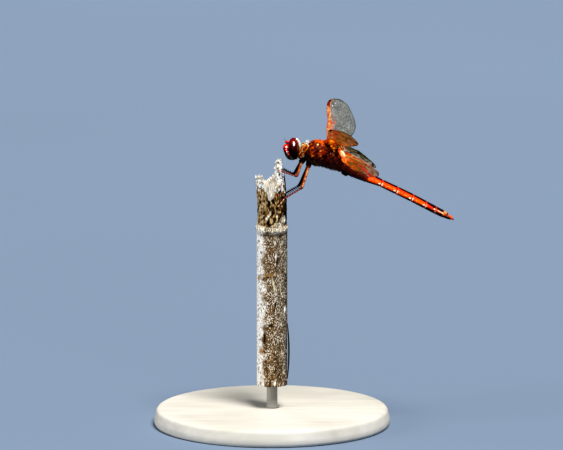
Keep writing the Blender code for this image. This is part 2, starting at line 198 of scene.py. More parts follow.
def resample(path, count):
    """Evenly spaced points along a path, and how far along it each lies, from 0 to 1."""
    path = np.array([tuple(p) for p in path])
    lengths = np.concatenate([[0], np.cumsum(np.linalg.norm(np.diff(path, axis=0), axis=1))])
    places = np.linspace(0, lengths[-1], count)
    return np.stack([np.interp(places, lengths, path[:, k]) for k in range(3)], -1), places / lengths[-1]


def tube_grid(path, radii, sides):
    """Rings round a path that don't twist."""
    path = np.asarray(path, float)
    tangents = np.gradient(path, axis=0)
    tangents /= np.linalg.norm(tangents, axis=1, keepdims=True)
    side = np.array(Vector(tangents[0]).orthogonal().normalized())
    turns = 2 * pi * np.arange(sides) / sides
    rings = []
    for point, tangent, radius in zip(path, tangents, np.broadcast_to(radii, len(path))):
        side = side - tangent * side.dot(tangent)
        side /= np.linalg.norm(side)
        other = np.cross(tangent, side)
        rings.append(point + (np.cos(turns)[:, None] * side + np.sin(turns)[:, None] * other) * radius)
    return np.array(rings)


class Pile:
    """Meshes gathered into one object, with a tint for each vertex and, for a coat, a place on the unwrap."""

    def __init__(self):
        self.verts, self.faces, self.tints, self.uvs = [], [], [], []
        self.count = 0

    def add(self, verts, faces, tint, uv=None):
        verts = np.asarray(verts, float).reshape(-1, 3)
        tint = np.broadcast_to(np.asarray(tint, float), (len(verts), np.shape(tint)[-1]))
        if tint.shape[1] == 3:
            tint = np.concatenate([tint, np.ones((len(verts), 1))], 1)
        self.verts.append(verts)
        self.faces += [tuple(k + self.count for k in face) for face in faces]
        self.tints.append(tint)
        if uv is not None:
            self.uvs.append(np.broadcast_to(uv, (len(verts), 2)))
        self.count += len(verts)

    def grid(self, grid, tint):
        """A closed skin over rings of points, with a cap at each end and its faces outwards."""
        rows, around = grid.shape[:2]
        total, last = rows * around, (rows - 1) * around
        verts = np.concatenate([grid.reshape(-1, 3), [grid[0].mean(0)], [grid[-1].mean(0)]])
        tint = np.broadcast_to(tint, (rows, around, np.shape(tint)[-1])).reshape(total, -1)
        tint = np.concatenate([tint, tint[:1], tint[-1:]])
        turns = [(j, (j + 1) % around) for j in range(around)]
        faces = [(low + j, low + n, low + around + n, low + around + j)
                 for low in range(0, last, around) for j, n in turns]
        for j, n in turns:
            faces += [(total, n, j), (total + 1, last + j, last + n)]
        a, b, c, d = (verts[[face[k] for face in faces]] for k in (0, 1, 2, -1))
        volume = (np.cross(b - a, c - a) * (a + b + c)).sum() + (np.cross(c - a, d - a) * (a + c + d)).sum()
        if volume < 0:
            faces = [face[::-1] for face in faces]
        self.add(verts, faces, tint)

    def tube(self, path, radii, tint, sides):
        self.grid(tube_grid(path, radii, sides), tint)

    def bars(self, starts, ends, width, height, tints):
        """Straight four-sided bars between points."""
        way = ends - starts
        way /= np.maximum(np.linalg.norm(way, axis=1, keepdims=True), 1e-9)
        side = np.cross(way, (0.0, 0.0, 1.0))
        side /= np.maximum(np.linalg.norm(side, axis=1, keepdims=True), 1e-9)
        side, top = side * width, np.cross(side, way) * height
        corners = [place + out for place in (starts, ends) for out in (side, top, -side, -top)]
        verts = np.stack(corners, 1).reshape(-1, 3)
        faces = []
        for b in range(0, len(verts), 8):
            faces += [(b, b + 1, b + 2, b + 3), (b + 7, b + 6, b + 5, b + 4)]
            faces += [(b + j, b + 4 + j, b + 4 + (j + 1) % 4, b + (j + 1) % 4) for j in range(4)]
        self.add(verts, faces, np.repeat(tints, 8, axis=0))

    def blade(self, root, tip, bend, radius, tint, uv=None):
        """A hair or spine: a thin three-sided spike, bent in the middle."""
        way = Vector(tip) - Vector(root)
        side = way.orthogonal().normalized()
        other = way.normalized().cross(side)
        middle = Vector(root) + way * 0.5 + Vector(bend)
        verts = []
        for centre, size in ((Vector(root), radius), (middle, radius * 0.75)):
            for turn in (2 * pi * k / 3 for k in range(3)):
                verts.append(centre + (side * cos(turn) + other * sin(turn)) * size)
        verts.append(Vector(tip))
        faces = [(2, 1, 0)]
        faces += [(k, (k + 1) % 3, 3 + (k + 1) % 3, 3 + k) for k in range(3)]
        faces += [(3 + k, 3 + (k + 1) % 3, 6) for k in range(3)]
        self.add([tuple(v) for v in verts], faces, tint, uv)

    def make(self, name, material, matrix, slot, replaces=(), smooth=True):
        mesh = bpy.data.meshes.new(name)
        mesh.from_pydata((np.concatenate(self.verts) * MM).tolist(), [], self.faces)
        tint = mesh.color_attributes.new("tint", "FLOAT_COLOR", "POINT")
        tint.data.foreach_set("color", np.concatenate(self.tints).astype(np.float32).ravel())
        if self.uvs:
            layer = mesh.uv_layers.new(name="OFBake")
            corners = np.zeros(len(mesh.loops), np.int32)
            mesh.loops.foreach_get("vertex_index", corners)
            layer.data.foreach_set("uv", np.concatenate(self.uvs)[corners].astype(np.float32).ravel())
        if smooth:
            mesh.shade_smooth()
        mesh.materials.append(material)
        obj = bpy.data.objects.new(name, mesh)
        bpy.context.scene.collection.objects.link(obj)
        obj.matrix_world = Matrix.Translation(matrix.translation * MM) @ matrix.to_3x3().to_4x4()
        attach(obj, "root")
        if replaces:
            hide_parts(*replaces)
        return obj


def single(name, grid, tint, material, matrix, slot, replaces=()):
    pile = Pile()
    pile.grid(grid, tint)
    return pile.make(name, material, matrix, slot, replaces)


def tuft(pile, rng, root, way, reach, spread, tone, place, blades=3, radius=0.035):
    """A few hairs from one root, all given that root's place on the unwrap."""
    patch = np.array([(cos(k), sin(k)) for k in range(7)]) * UV_PATCH
    for _ in range(blades):
        stray = Vector([rng.gauss(0, spread) for _ in range(3)])
        out = (way + stray).normalized() * reach * rng.uniform(0.7, 1.15)
        bend = Vector([rng.gauss(0, 0.06) for _ in range(3)]) * reach
        shade = tone * rng.uniform(0.75, 1.2)
        pile.blade(root - out * 0.12, root + out, bend, radius, shade, np.array(place) + patch)


# ---------------------------------------------------------------- materials

NOISE_ROUGHNESS, NOISE_RANGE = 0.55, (0.3, 0.7)
GRAIN_DETAIL, BUMP_STRENGTH = 5.0, 0.6


def new_material(name):
    made = bpy.data.materials.new(name)
    made.use_nodes = True
    return made, made.node_tree, made.node_tree.nodes["Principled BSDF"]


def add_node(tree, kind, **inputs):
    node = tree.nodes.new(kind)
    for key, value in inputs.items():
        node.inputs[key.replace("_", " ")].default_value = value
    return node


def colour_mix(tree):
    node = tree.nodes.new("ShaderNodeMix")
    node.data_type = "RGBA"
    return node


def noise_node(tree, scale, detail, stretch=None):
    """Noise over the object's own coordinates, with scale in features per millimetre."""
    source = tree.nodes.new("ShaderNodeTexCoord").outputs["Object"]
    node = add_node(tree, "ShaderNodeTexNoise", Scale=scale / MM, Detail=detail, Roughness=NOISE_ROUGHNESS)
    if stretch:
        mapping = add_node(tree, "ShaderNodeMapping", Scale=stretch)
        tree.links.new(source, mapping.inputs["Vector"])
        source = mapping.outputs["Vector"]
    tree.links.new(source, node.inputs["Vector"])
    return node.outputs["Fac"]


def ranged(tree, source, low, high):
    """The noise's usual range spread from low to high."""
    node = add_node(tree, "ShaderNodeMapRange", To_Min=low, To_Max=high)
    node.inputs["From Min"].default_value, node.inputs["From Max"].default_value = NOISE_RANGE
    tree.links.new(source, node.inputs["Value"])
    return node.outputs["Result"]


def tinted(name, roughness, grain, depth, shade=0.25, level=0.05, alpha=False, stretch=None):
    """A finish coloured by the mesh's tint.

    Noise of grain features a millimetre varies its colour by shade and its roughness between two values, and
    dents it by depth millimetres.
    """
    made, tree, shader = new_material(name)
    tint = tree.nodes.new("ShaderNodeAttribute")
    tint.attribute_name = "tint"
    texture = noise_node(tree, grain, GRAIN_DETAIL, stretch)
    vary = colour_mix(tree)
    vary.blend_type = "MULTIPLY"
    vary.inputs["Factor"].default_value = 1.0
    tree.links.new(tint.outputs["Color"], vary.inputs["A"])
    grey = tree.nodes.new("ShaderNodeCombineColor")
    brightness = ranged(tree, texture, 1 - shade, 1 + shade)
    for channel in ("Red", "Green", "Blue"):
        tree.links.new(brightness, grey.inputs[channel])
    tree.links.new(grey.outputs["Color"], vary.inputs["B"])
    tree.links.new(vary.outputs["Result"], shader.inputs["Base Color"])
    tree.links.new(ranged(tree, texture, *roughness), shader.inputs["Roughness"])
    bump = add_node(tree, "ShaderNodeBump", Strength=BUMP_STRENGTH, Distance=depth * MM)
    tree.links.new(texture, bump.inputs["Height"])
    tree.links.new(bump.outputs["Normal"], shader.inputs["Normal"])
    shader.inputs["Specular IOR Level"].default_value = level
    if alpha:
        tree.links.new(tint.outputs["Alpha"], shader.inputs["Alpha"])
    return made


SHELL = tinted("body_shell", (0.4, 0.65), 5.0, 0.03, shade=0.45, level=0.06)
GLOSS = tinted("face_gloss", (0.05, 0.1), 4.0, 0.001, shade=0.18, level=0.6)
EYE = tinted("eye_gloss", (0.12, 0.18), 14.0, 0.002, shade=0.2, level=0.3)
SEGMENT = tinted("abdomen_shell", (0.35, 0.5), 4.0, 0.02, shade=0.25, level=0.06)
LEG = tinted("leg_shell", (0.25, 0.5), 6.0, 0.008, level=0.1)
FILM = tinted("wing_film", (0.3, 0.5), 1.6, 0.01, shade=0.3, alpha=True, level=0.02)
VEIN = tinted("wing_vein", (0.4, 0.6), 3.0, 0.004, shade=0.3, level=0.02)
BARK = tinted("reed_bark", (0.7, 0.95), 2.6, 0.06, shade=0.35, stretch=(1.0, 1.0, 0.5))
SPLINTER = tinted("reed_splinter", (0.75, 0.95), 4.0, 0.03, shade=0.3, stretch=(1.0, 1.0, 0.25))
HAIR = tinted("hair", (0.45, 0.65), 2.0, 0.002, shade=0.25)
PAINT = tinted("stand_paint", (0.45, 0.65), 0.5, 0.02, shade=0.06, level=0.2, stretch=(0.12, 1.0, 1.0))

BLACK = colour(18, 9, 7)


# ---------------------------------------------------------------- stand and reed

BASE_RADIUS, BASE_HEIGHT, BASE_DRAFT, BASE_ROUND = 35.0, 5.0, 0.6, 1.2
ROD_RADIUS, ROD_FILLET = 1.6, 0.5
REED_RADIUS, REED_BORE, BORE_DEPTH, NODE_DROP = 4.55, 3.15, 13.0, 14.9
TOP_LEAN, SHARD_LEAN = 0.5, 0.17
REED_ROWS, REED_AROUND, BORE_ROWS = 420, 300, 26
DRAWN_RADIUS = 4.4

# The rim's height at each angle in degrees, with its high shards and its notch
RIM_HEIGHTS = (
    (-180, 0.3), (-150, 1.0), (-130, 1.1), (-117, -1.2), (-96, -4.3), (-80, -2.8), (-68, -0.2), (-58, 3.4),
    (-45, 5.7), (-15, 6.0), (12, 5.4), (38, 4.2), (56, 2.8), (70, 1.2), (88, 0.0), (108, -1.1), (135, -0.9),
    (152, 0.5), (180, 0.3))
NOTCH_ANGLE = -92
# Stains and flakes: the angle, how many degrees wide, the lowest and highest height, and the colour
REED_MARKS = (
    (-112, 7, -12.2, -11.0, (250, 242, 214)), (-104, 6, -11.3, -10.2, (246, 234, 204)),
    (-97, 5, -10.6, -9.2, (240, 224, 186)), (-70, 4, -11.6, -10.4, (250, 240, 206)),
    (-106, 9, -16.4, -15.0, (92, 66, 40)), (-79, 3.0, -19.6, -18.0, (240, 236, 224)),
    (-71, 5.0, -26.6, -22.4, (10, 6, 4)), (-75, 3.0, -24.2, -21.8, (252, 248, 240)),
    (-83, 4, -30.2, -27.6, (58, 36, 18)), (-80, 5, -28.6, -27.8, (246, 240, 226)),
    (-100, 30, -28.9, -27.7, (146, 112, 70)), (-150, 10, -30.6, -28.6, (180, 136, 84)),
    (-77, 5.5, -38.2, -36.2, (16, 10, 7)), (-77, 2.5, -35.9, -35.0, (250, 246, 236)),
    (-33, 7, -39.9, -38.0, (252, 250, 244)), (-95, 14, -44.0, -43.0, (44, 24, 12)),
    (-138, 12, -52.6, -50.4, (166, 128, 80)), (-76, 4, -57.9, -55.6, (18, 11, 8)),
    (-79, 5, -62.0, -60.0, (248, 242, 222)))
KNOBS = ((-62, 20, -14.9, -12.4), (-38, 16, -13.4, -10.8))
SLIT = (-121, 6, -50.2, -44.6)
SPLINTER_COUNT = 260
STRIP_TOP, STRIP_FOOT, STRIP_STAND = -43.5, -60.5, 0.5


def make_stand():
    """A turned and painted base with a short rod."""
    edge = [(0.01, 0.0), (BASE_RADIUS - 1.0, 0.0), (BASE_RADIUS - 0.3, 0.3), (BASE_RADIUS, 1.0)]
    edge += [(BASE_RADIUS - BASE_DRAFT * s * s, lerp(1.0, BASE_HEIGHT - BASE_ROUND, s)) for s in (0.5, 1.0)]
    for turn in (0.4, 0.8, 1.2, 1.57):
        inward, drop = BASE_ROUND * (1 - cos(turn)), BASE_ROUND * (1 - sin(turn))
        edge.append((BASE_RADIUS - BASE_DRAFT - inward, BASE_HEIGHT - drop))
    edge += [(BASE_RADIUS * s, BASE_HEIGHT) for s in (0.8, 0.5, 0.2, 0.06)]
    grid = lathe(edge, 160)
    shade = mix((214, 211, 203), (196, 192, 182), 0.5 + 0.5 * fuzz(grid, 0.06))
    single("stand_base_finish", grid, shade, PAINT, ROW, "stand", ["stand_base"])
    heights = np.linspace(0, RIM - REED_LENGTH - BASE_HEIGHT, 14)
    grid = lathe([(ROD_RADIUS + ROD_FILLET * exp(-h / 0.35), BASE_HEIGHT + h) for h in heights], 40)
    single("stand_rod_finish", grid, colour(150, 148, 142), PAINT, ROW, "stand", ["stand_rod"])


def rim_height(angle):
    degrees_round, heights = np.array(RIM_HEIGHTS).T
    return np.interp(np.degrees(angle), degrees_round, heights)


def reed_surface(radius, angle, height):
    lean = TOP_LEAN * unit(1 + height / 7) + SHARD_LEAN * np.clip(height, 0, None)
    return np.stack([radius * np.cos(angle) - lean, radius * np.sin(angle), RIM + height], -1)


def reed_place(angle, height):
    """Points on a plain cylinder, from which the reed's noise is drawn."""
    return np.stack([DRAWN_RADIUS * np.cos(angle), DRAWN_RADIUS * np.sin(angle), height], -1)


def stain(angle, height, at, wide, low, high):
    """How far a point lies inside a soft-edged patch: at an angle, degrees wide, between two heights."""
    off = (np.degrees(angle) - at + 180) % 360 - 180
    middle, half = (low + high) / 2, (high - low) / 2
    return unit(1.6 - np.sqrt((off / wide) ** 2 + ((height - middle) / half) ** 2) * 1.4)


def make_reed():
    """The bark from the reed's foot over its node and its broken rim, and the lining of the bore."""
    angle = 2 * pi * np.arange(REED_AROUND) / REED_AROUND - pi
    angle = np.broadcast_to(angle[None], (REED_ROWS, REED_AROUND))
    circle = np.stack([np.cos(angle[0]) * 4, np.sin(angle[0]) * 4, 0 * angle[0]], -1)
    ragged = 0.35 * fuzz(circle, 1.6, 3.0) + 0.9 * np.abs(fuzz(circle, 4.0, 9.0)) - 0.6
    rim = (rim_height(angle[0]) + ragged)[None]
    height = lerp(-REED_LENGTH, rim, np.linspace(0, 1, REED_ROWS)[:, None] ** 0.75)
    place = reed_place(angle, height)
    drawn = place * (1, 1, 0.12)
    fibre, fine = fuzz(drawn, 1.8, 1.0, 4), fuzz(drawn, 6.0, 5.0, 2)
    blotch, grit, crumb = fuzz(place, 0.4, 2.0, 4), fuzz(place, 1.7, 11.0, 3), fuzz(place, 3.4, 17.0, 2)
    lumps = fuzz(place, 1.9, 8.0, 2)
    tilted = height + NODE_DROP - 0.25 - 0.55 * np.sin(angle)
    ring, above = bell(tilted, 0, 0.75), ease(0.3, 1.4, tilted)
    knob = sum(stain(angle, height, *at) for at in KNOBS)
    slit = stain(angle, height, *SLIT)
    torn = np.maximum(ease(1.7, 0.2, rim - height), ease(-1.2, 0.8, height) * 0.95)
    pits = ease(0.24, 0.5, grit) * (0.3 + 0.7 * above)
    dents = ease(0.06, 0.22, fuzz(place * (1, 1, 0.4), 1.0, 51.0, 4)) * above
    radius = REED_RADIUS - 0.05 - 0.15 * ease(-1, 1, tilted) + 0.4 * ring * (1 + 0.8 * lumps)
    radius += 0.04 * fibre + 0.02 * fine + (0.05 + 0.13 * above) * grit
    radius += knob * 0.22 * (0.7 + 1.4 * lumps) + torn * (0.2 * crumb - 0.06)
    radius -= 0.14 * pits + 0.4 * slit + 0.12 * dents
    outside = reed_surface(radius, angle, height)
    tint = bark_tint(angle, height, rim, (blotch, grit, crumb, lumps), (tilted, ring, knob, pits, slit))
    depth = np.linspace(0, 1, BORE_ROWS)[:, None]
    wall = radius[-1:] - (radius[-1:] - REED_BORE) * ease(0, 0.2, depth)
    start = rim - 0.35 - 0.25 * np.abs(fine[-1:])
    deep = lerp(start, -BORE_DEPTH, ease(0.12, 1.0, depth))
    inside = reed_surface(wall + 0.12 * crumb[-BORE_ROWS:], angle[:BORE_ROWS], deep)
    lining = mix((250, 245, 232), (96, 66, 32), ease(0.06, 0.2, crumb[-BORE_ROWS:]) * 0.9)
    # painted shade: the lining is darker deeper in the bore
    lining = mix(lining, (118, 92, 62), ease(0.3, 0.8, depth) + 0 * wall)
    skin, tint = np.concatenate([outside, inside]), np.concatenate([tint, lining])
    single("reed_bark", skin, tint, BARK, ROW, "reed", ["perch_reed"])
    make_splinters()


def bark_tint(angle, height, rim, noises, marks):
    """The bark's colours: paler on the left, brown and flaked elsewhere, with a pale ring at the node."""
    blotch, grit, crumb, lumps = noises
    tilted, ring, knob, pits, slit = marks
    turn, front = np.degrees(angle), np.cos(angle)
    facing = front + 0.25 * blotch
    pale_left = ease(-0.4, -0.76, facing)
    raised = ring + knob
    streak = bell(turn, -84 - 2.2 * (height + 31), 3.0)
    streak = streak * ease(-34.0, -32.5, height) * ease(-28.6, -30.0, height)
    tint = mix((74, 44, 16), (168, 132, 84), unit(0.4 + 1.3 * grit + 0.7 * blotch))
    tint = layers(
        tint,
        ((92, 80, 60), ease(0.2, 0.6, facing) * 0.7),
        ((46, 26, 10), ease(0.14, 0.3, grit + 0.35 * blotch) * (1 - pale_left) * 0.9),
        ((252, 244, 222), ease(-0.25, -0.36, crumb + 0.3 * blotch) * 0.85),
        ((254, 250, 242), pale_left * unit(1.05 - 0.8 * np.abs(crumb))),
        ((84, 62, 40), pale_left * ease(0.26, 0.36, grit) * 0.8),
        ((26, 20, 16), ease(0.84, 0.95, front) * ease(-0.2, 0.1, grit) * 0.85),
        ((36, 24, 14), pits * 0.8 * (1 - pale_left * 0.85)),
        (crust(angle, height, rim), ease(0.3, 1.4, tilted)),
        ((40, 24, 10), bell(tilted, -1.2, 0.5) * 0.9 * (1 - pale_left * 0.5)),
        ((250, 242, 220), unit(raised) * unit(0.85 + 0.9 * lumps)),
        ((40, 22, 8), (raised > 0.4) * ease(0.04, 0.2, crumb + 0.3 * lumps) * 0.9),
        ((236, 226, 186), streak))
    for *where, tone in REED_MARKS:
        tint = mix(tint, tone, stain(angle, height, *where))
    return mix(tint, (22, 14, 9), slit)


def crust(angle, height, rim):
    """The bark above the node: brown with pale flakes and black cracks, pale at the rim and on the left."""
    place = reed_place(angle, height)
    crack = fuzz(place * (1, 1, 0.45), 1.0, 51.0, 4)
    flake, mottle = fuzz(place, 1.3, 57.0), fuzz(place, 0.8, 61.0)
    turn, front = np.degrees(angle), np.cos(angle)
    facing = front + 0.2 * mottle
    pale = mix((218, 192, 146), (134, 92, 40), ease(-0.1, 0.12, flake))
    pale = mix(pale, (44, 28, 12), ease(0.16, 0.28, crack + 0.25 * flake))
    line = bell(front, -0.88 + 0.02 * np.sin(height * 1.7), 0.022) * ease(-3.5, -6.0, height)
    line = line + ease(0.9, 0.96, front) * ease(2.0, 0.5, height)
    notch = bell(turn, -96, 14) * ease(1.6, 0.9, rim - height + 1.2 * flake)
    white = np.maximum(notch, ease(-3.3, -2.6, height - 1.6 * flake - 1.4 * mottle))
    standing = 1 - ease(-0.6, 0.6, height)
    bright = mix((255, 254, 250), (206, 178, 128), ease(0.1, 0.34, mottle + 0.5 * flake) * 0.8 * standing)
    bright = layers(
        bright,
        ((26, 14, 6), ease(0.2, 0.3, fuzz(place, 1.7, 71.0, 2) - 0.07 * (1 - standing))),
        ((20, 10, 5), ease(0.93, 0.97, front) * ease(1.2, 0.2, height)))
    return layers(
        mix((44, 27, 6), (128, 86, 34), unit(0.42 + 2.0 * mottle)),
        ((220, 188, 134), ease(0.22, 0.38, flake) * 0.85),
        ((14, 7, 2), ease(0.1, 0.22, crack)),
        (pale, ease(-0.34, -0.58, facing) * 0.8),
        ((14, 7, 3), unit(line) * 0.95),
        ((12, 7, 3), ease(0.66, 0.82, facing) * ease(-6.0, -8.0, height) * 0.9),
        (bright, white))


def make_splinters():
    """Torn fibres along the broken rim and in its notch, and a strip of bark that stands off the side."""
    rng, pile = random.Random(11), Pile()
    for _ in range(SPLINTER_COUNT):
        angle = radians(rng.uniform(-180, 180))
        if rng.random() < 0.5:
            angle = radians(rng.gauss(NOTCH_ANGLE, 22))
        level = float(rim_height(np.array(angle)))
        radius = lerp(REED_RADIUS - 0.15, REED_BORE + 0.1, rng.uniform(0.0, 1.0))
        base, tall = level - rng.uniform(0.3, 2.2), rng.uniform(0.4, 1.1)
        if level < -1.0 and abs(degrees(angle) - NOTCH_ANGLE) < 34:
            tall = min(rng.uniform(1.0, 4.6), -1.2 - base + rng.uniform(0, 0.9))
        tip_radius, tip_angle = radius + rng.gauss(0, 0.12), angle + rng.gauss(0, 0.05)
        root, tip = reed_surface(radius, angle, base), reed_surface(tip_radius, tip_angle, base + tall)
        bend = (rng.gauss(0, 0.1), rng.gauss(0, 0.1), 0)
        tone = mix((250, 246, 234), (150, 118, 78), max(0.0, rng.gauss(0.0, 0.35)))
        pile.blade(root, tip, bend, rng.uniform(0.14, 0.32), tone)
    pile.make("reed_splinters", SPLINTER, ROW, "reed", smooth=False)
    share = np.linspace(0, 1, 50)
    stand = STRIP_STAND * np.sin(pi * share) ** 0.8
    path = reed_surface(REED_RADIUS - 0.06 + stand, 0 * share - 0.03, lerp(STRIP_TOP, STRIP_FOOT, share))
    grid = tube_grid(path, 0.05 + 0.2 * np.sin(pi * share) ** 0.5, 12)
    grid[..., 1] = path[:, None, 1] + (grid[..., 1] - path[:, None, 1]) * 3
    single("reed_strip", grid, mix((12, 8, 6), (40, 28, 18), 0.5 + fuzz(grid, 1.0)), BARK, ROW, "reed")


# ---------------------------------------------------------------- head

EYE_CENTRE, EYE_SIZE, EYE_TILT, EYE_FRONT = (-0.05, 2.1, 0.1), (1.95, 2.2, 3.25), radians(20), 0.78
VERTEX = ((-1.85, 0.0, 1.98), (0.7, 0.68, 0.48))
LABIUM = ((-0.5, 0.0, -2.2), (1.35, 2.0, 1.05))
CROWN = ((0.5, 0.0, -0.1), (1.61, 3.2, 3.016))
CROWN_ROWS, CROWN_AROUND, FRINGE_TUFTS = 72, 110, 2600
ANTENNA_POINTS = ((-1.7, 1.0, 1.5), (-2.4, 1.2, 2.5), (-3.0, 1.6, 3.3))

# The face in level slices from the frons to the chin: height, how far forward, and half the width
FACE_PROFILE = (
    (1.42, -1.9, 0.5), (1.36, -2.3, 0.9), (1.16, -2.65, 1.25), (0.8, -2.9, 1.55), (0.3, -2.98, 1.82),
    (-0.3, -2.88, 1.95), (-0.85, -2.7, 1.95), (-1.4, -2.47, 1.85), (-2.0, -2.2, 1.75), (-2.5, -1.85, 1.6),
    (-3.0, -1.2, 1.3), (-3.28, -0.5, 0.8))
FACE_BACK, FACE_SQUARE, FACE_ROWS, FACE_AROUND = -0.5, 2.6, 110, 120
# The grooves between frons, clypeus and labrum: height, depth, width, and the width of the dark line
GROOVES = (
    (0.12, 0.12, 0.1, 0.08), (-0.62, 0.1, 0.09, 0.07), (-1.3, 0.12, 0.1, 0.08), (-2.05, 0.1, 0.09, 0.08))


def make_eye(name, side):
    """An eye that meets the other one on top: dark red, brighter above and brown behind."""
    grid = ball((0, 0, 0), EYE_SIZE, 120, 84, EYE_TILT)
    low = 0.26 * ease(0.3, -1.8, grid[..., 2])
    grid[..., 0] = grid[..., 0] * np.where(grid[..., 0] < 0, EYE_FRONT - low, 1)
    grid[..., 1] = np.maximum(grid[..., 1], 0.04 - EYE_CENTRE[1])
    grid = (grid + EYE_CENTRE) * (1, side, 1)
    x, z = grid[..., 0], grid[..., 2]
    mottle = 0.5 * fuzz(grid, 1.1, 5.0)
    rear = ease(0.9, 1.6, x + 0.1 * z + 0.2 * mottle)
    tint = layers(
        mix((10, 2, 1), (50, 4, 2), ease(-0.6, 1.2, z + 1.6 * mottle)),
        ((118, 14, 8), ease(1.3, 2.8, z - 0.3 * x + 0.8 * mottle)),
        ((120, 56, 16), rear * ease(-1.0, 0.9, z) * 0.85))
    single(f"eye_{name}_lens", grid, tint, EYE, HEAD, "eye", [f"eye_{name}"])


def make_antenna(name, side):
    """A bristle with a thick root."""
    path, shares = resample(rounded(mirrored(ANTENNA_POINTS, side), (1, 1), 0.5)[0], 36)
    radii = 0.035 + 0.13 * np.exp(-shares / 0.07) + 0.01 * np.abs(np.sin(9 * shares)) * (shares < 0.5)
    grid = tube_grid(path, radii * (1 - 0.6 * shares), 12)
    tint = mix((60, 16, 10), BLACK, shares)[:, None]
    single(f"antenna_{name}_feeler", grid, tint, SHELL, HEAD, "face", [f"antenna_{name}"])


def make_head():
    for name, side in SIDES.items():
        make_eye(name, side)
    make_face()
    make_crown()
    for name, side in SIDES.items():
        make_antenna(name, side)


def face_grid():
    """The face from the top of the frons to the chin: level slices, squarish in front."""
    curve = along_table(FACE_PROFILE, np.linspace(0, len(FACE_PROFILE) - 1, FACE_ROWS))
    z, front, width = curve.T[:, :, None]
    turn = (2 * pi * np.arange(FACE_AROUND) / FACE_AROUND)[None]
    c, s = np.cos(turn), np.sin(turn)
    size = (np.abs(c) ** FACE_SQUARE + np.abs(s) ** FACE_SQUARE) ** (-1 / FACE_SQUARE)
    return np.stack([FACE_BACK + (FACE_BACK - front) * c * size, width * s * size, z + 0 * turn], -1)


def make_face():
    """Frons, clypeus and labrum as one grooved plate, the labium under it and the vertex over it."""
    grid = face_grid()
    x, y, z = axes(grid)
    ahead = ease(-0.8, -1.6, x)
    height = 0.03 * fuzz(grid, 2.2, 3.0) - 0.1 * bell(y, 0, 0.16) * ease(0.3, 0.9, z)
    height = height - sum(depth * bell(z, at, width) for at, depth, width, line in GROOVES)
    lines = sum(bell(z, at, line) for at, depth, width, line in GROOVES)
    grid = relief(grid, height * ahead)
    edge = x + 2.85 - 0.62 * np.clip(0.45 - z, 0, None) + 0.3 * fuzz(grid, 1.6, 6.0)
    tint = layers(
        mix((232, 14, 4), (150, 8, 2), 0.5 + fuzz(grid, 1.5, 9.0)),
        ((255, 50, 20), ease(0.2, 1.1, z) * 0.6),
        ((70, 6, 4), unit(lines * ahead) * 0.6),
        ((14, 5, 4), ease(0.1, -0.1, edge) * ease(0.6, 0.2, z)),
        ((14, 5, 4), ease(-1.6, -1.95, z)),
        ((16, 6, 5), ease(1.25, 1.4, z)))
    single("face_plate", grid, tint, GLOSS, HEAD, "face", ["frons", "clypeus", "labrum"])
    grid = ball(*LABIUM, 96, 56)
    y = grid[..., 1]
    grid = relief(grid, -0.1 * bell(y, 0, 0.12) - 0.06 * bell(np.abs(y), 0.8, 0.1))
    tint = mix(BLACK, (60, 22, 12), ease(0.1, 0.5, fuzz(grid, 1.2, 3.0)))
    single("labium_plate", grid, tint, SHELL, HEAD, "face", ["labium"])
    grid, level = ball(*VERTEX, 80, 50), VERTEX[0][2]
    y, z = axes(grid)[1:]
    tint = mix((20, 6, 5), (206, 40, 44), ease(level - 0.3, level + 0.05, z))
    grid = relief(grid, -0.14 * bell(y, 0, 0.18) * ease(level - 0.1, level + 0.4, z))
    single("vertex_plate", grid, tint, GLOSS, HEAD, "face", ["vertex"])


def make_crown():
    """The back of the head behind the eyes, with its pale fringe of hair."""
    grid = ball(*CROWN, CROWN_AROUND, CROWN_ROWS)
    z = grid[..., 2]
    tint = layers(
        mix((236, 116, 10), (255, 224, 160), ease(-0.1, 0.15, fuzz(grid, 1.5, 21.0))),
        ((255, 252, 236), ease(0.3, 1.2, z)),
        ((22, 9, 6), ease(0.12, 0.24, fuzz(grid, 1.7, 41.0)) * ease(1.2, 0.4, z)),
        (BLACK, ease(-1.4, -2.1, z)))
    single("head_capsule", grid, tint, SHELL, HEAD, "face", ["head"])
    rng, pile = random.Random(5), Pile()
    normals = normals_of(grid)
    for _ in range(FRINGE_TUFTS):
        i, j = rng.randrange(4, 52), rng.randrange(CROWN_AROUND)
        root, out = Vector(grid[i, j]), Vector(normals[i, j])
        if root.x < 0.7 or rng.random() > 0.25 + 0.75 * ease(-0.8, 1.0, root.z):
            continue
        way = out * 0.9 + Vector((0.5, 0, 0.1))
        tone = mix((255, 255, 250), (240, 140, 40), float(ease(0.7, -0.4, root.z)))
        reach = lerp(0.22, 0.5, float(ease(0.0, 1.6, root.z)))
        tuft(pile, rng, root, way, reach, 0.2, tone, (j / CROWN_AROUND, i / CROWN_ROWS))
    pile.make("head_fringe", HAIR, HEAD, "face", smooth=False)


# ---------------------------------------------------------------- thorax

# Back and belly as (x, z), and half the width, from front to rear
THORAX = (
    ((-11.0, 1.3), (-11.0, -2.6), 1.5), ((-10.2, 2.5), (-10.1, -3.7), 2.7),
    ((-8.9, 3.35), (-8.5, -4.3), 3.25), ((-7.4, 3.85), (-6.8, -4.4), 3.5), ((-5.6, 3.9), (-5.0, -3.9), 3.5),
    ((-3.6, 3.65), (-3.1, -3.4), 3.3), ((-1.6, 3.2), (-1.4, -3.1), 2.95), ((0.1, 2.5), (0.0, -2.75), 2.4),
    ((0.75, 2.0), (0.7, -2.1), 1.9))
THORAX_ROWS, THORAX_AROUND, THORAX_WAIST, THORAX_INSET = 150, 180, 1.12, 0.3
SUTURES = (((-5.8, 3.3), (-9.6, -3.2)), ((-3.6, 3.0), (-7.4, -3.6)), ((-1.9, 2.4), (-4.6, -3.3)))
BACK_BUMPS = (-5.2, -3.8, -2.4, -1.2)
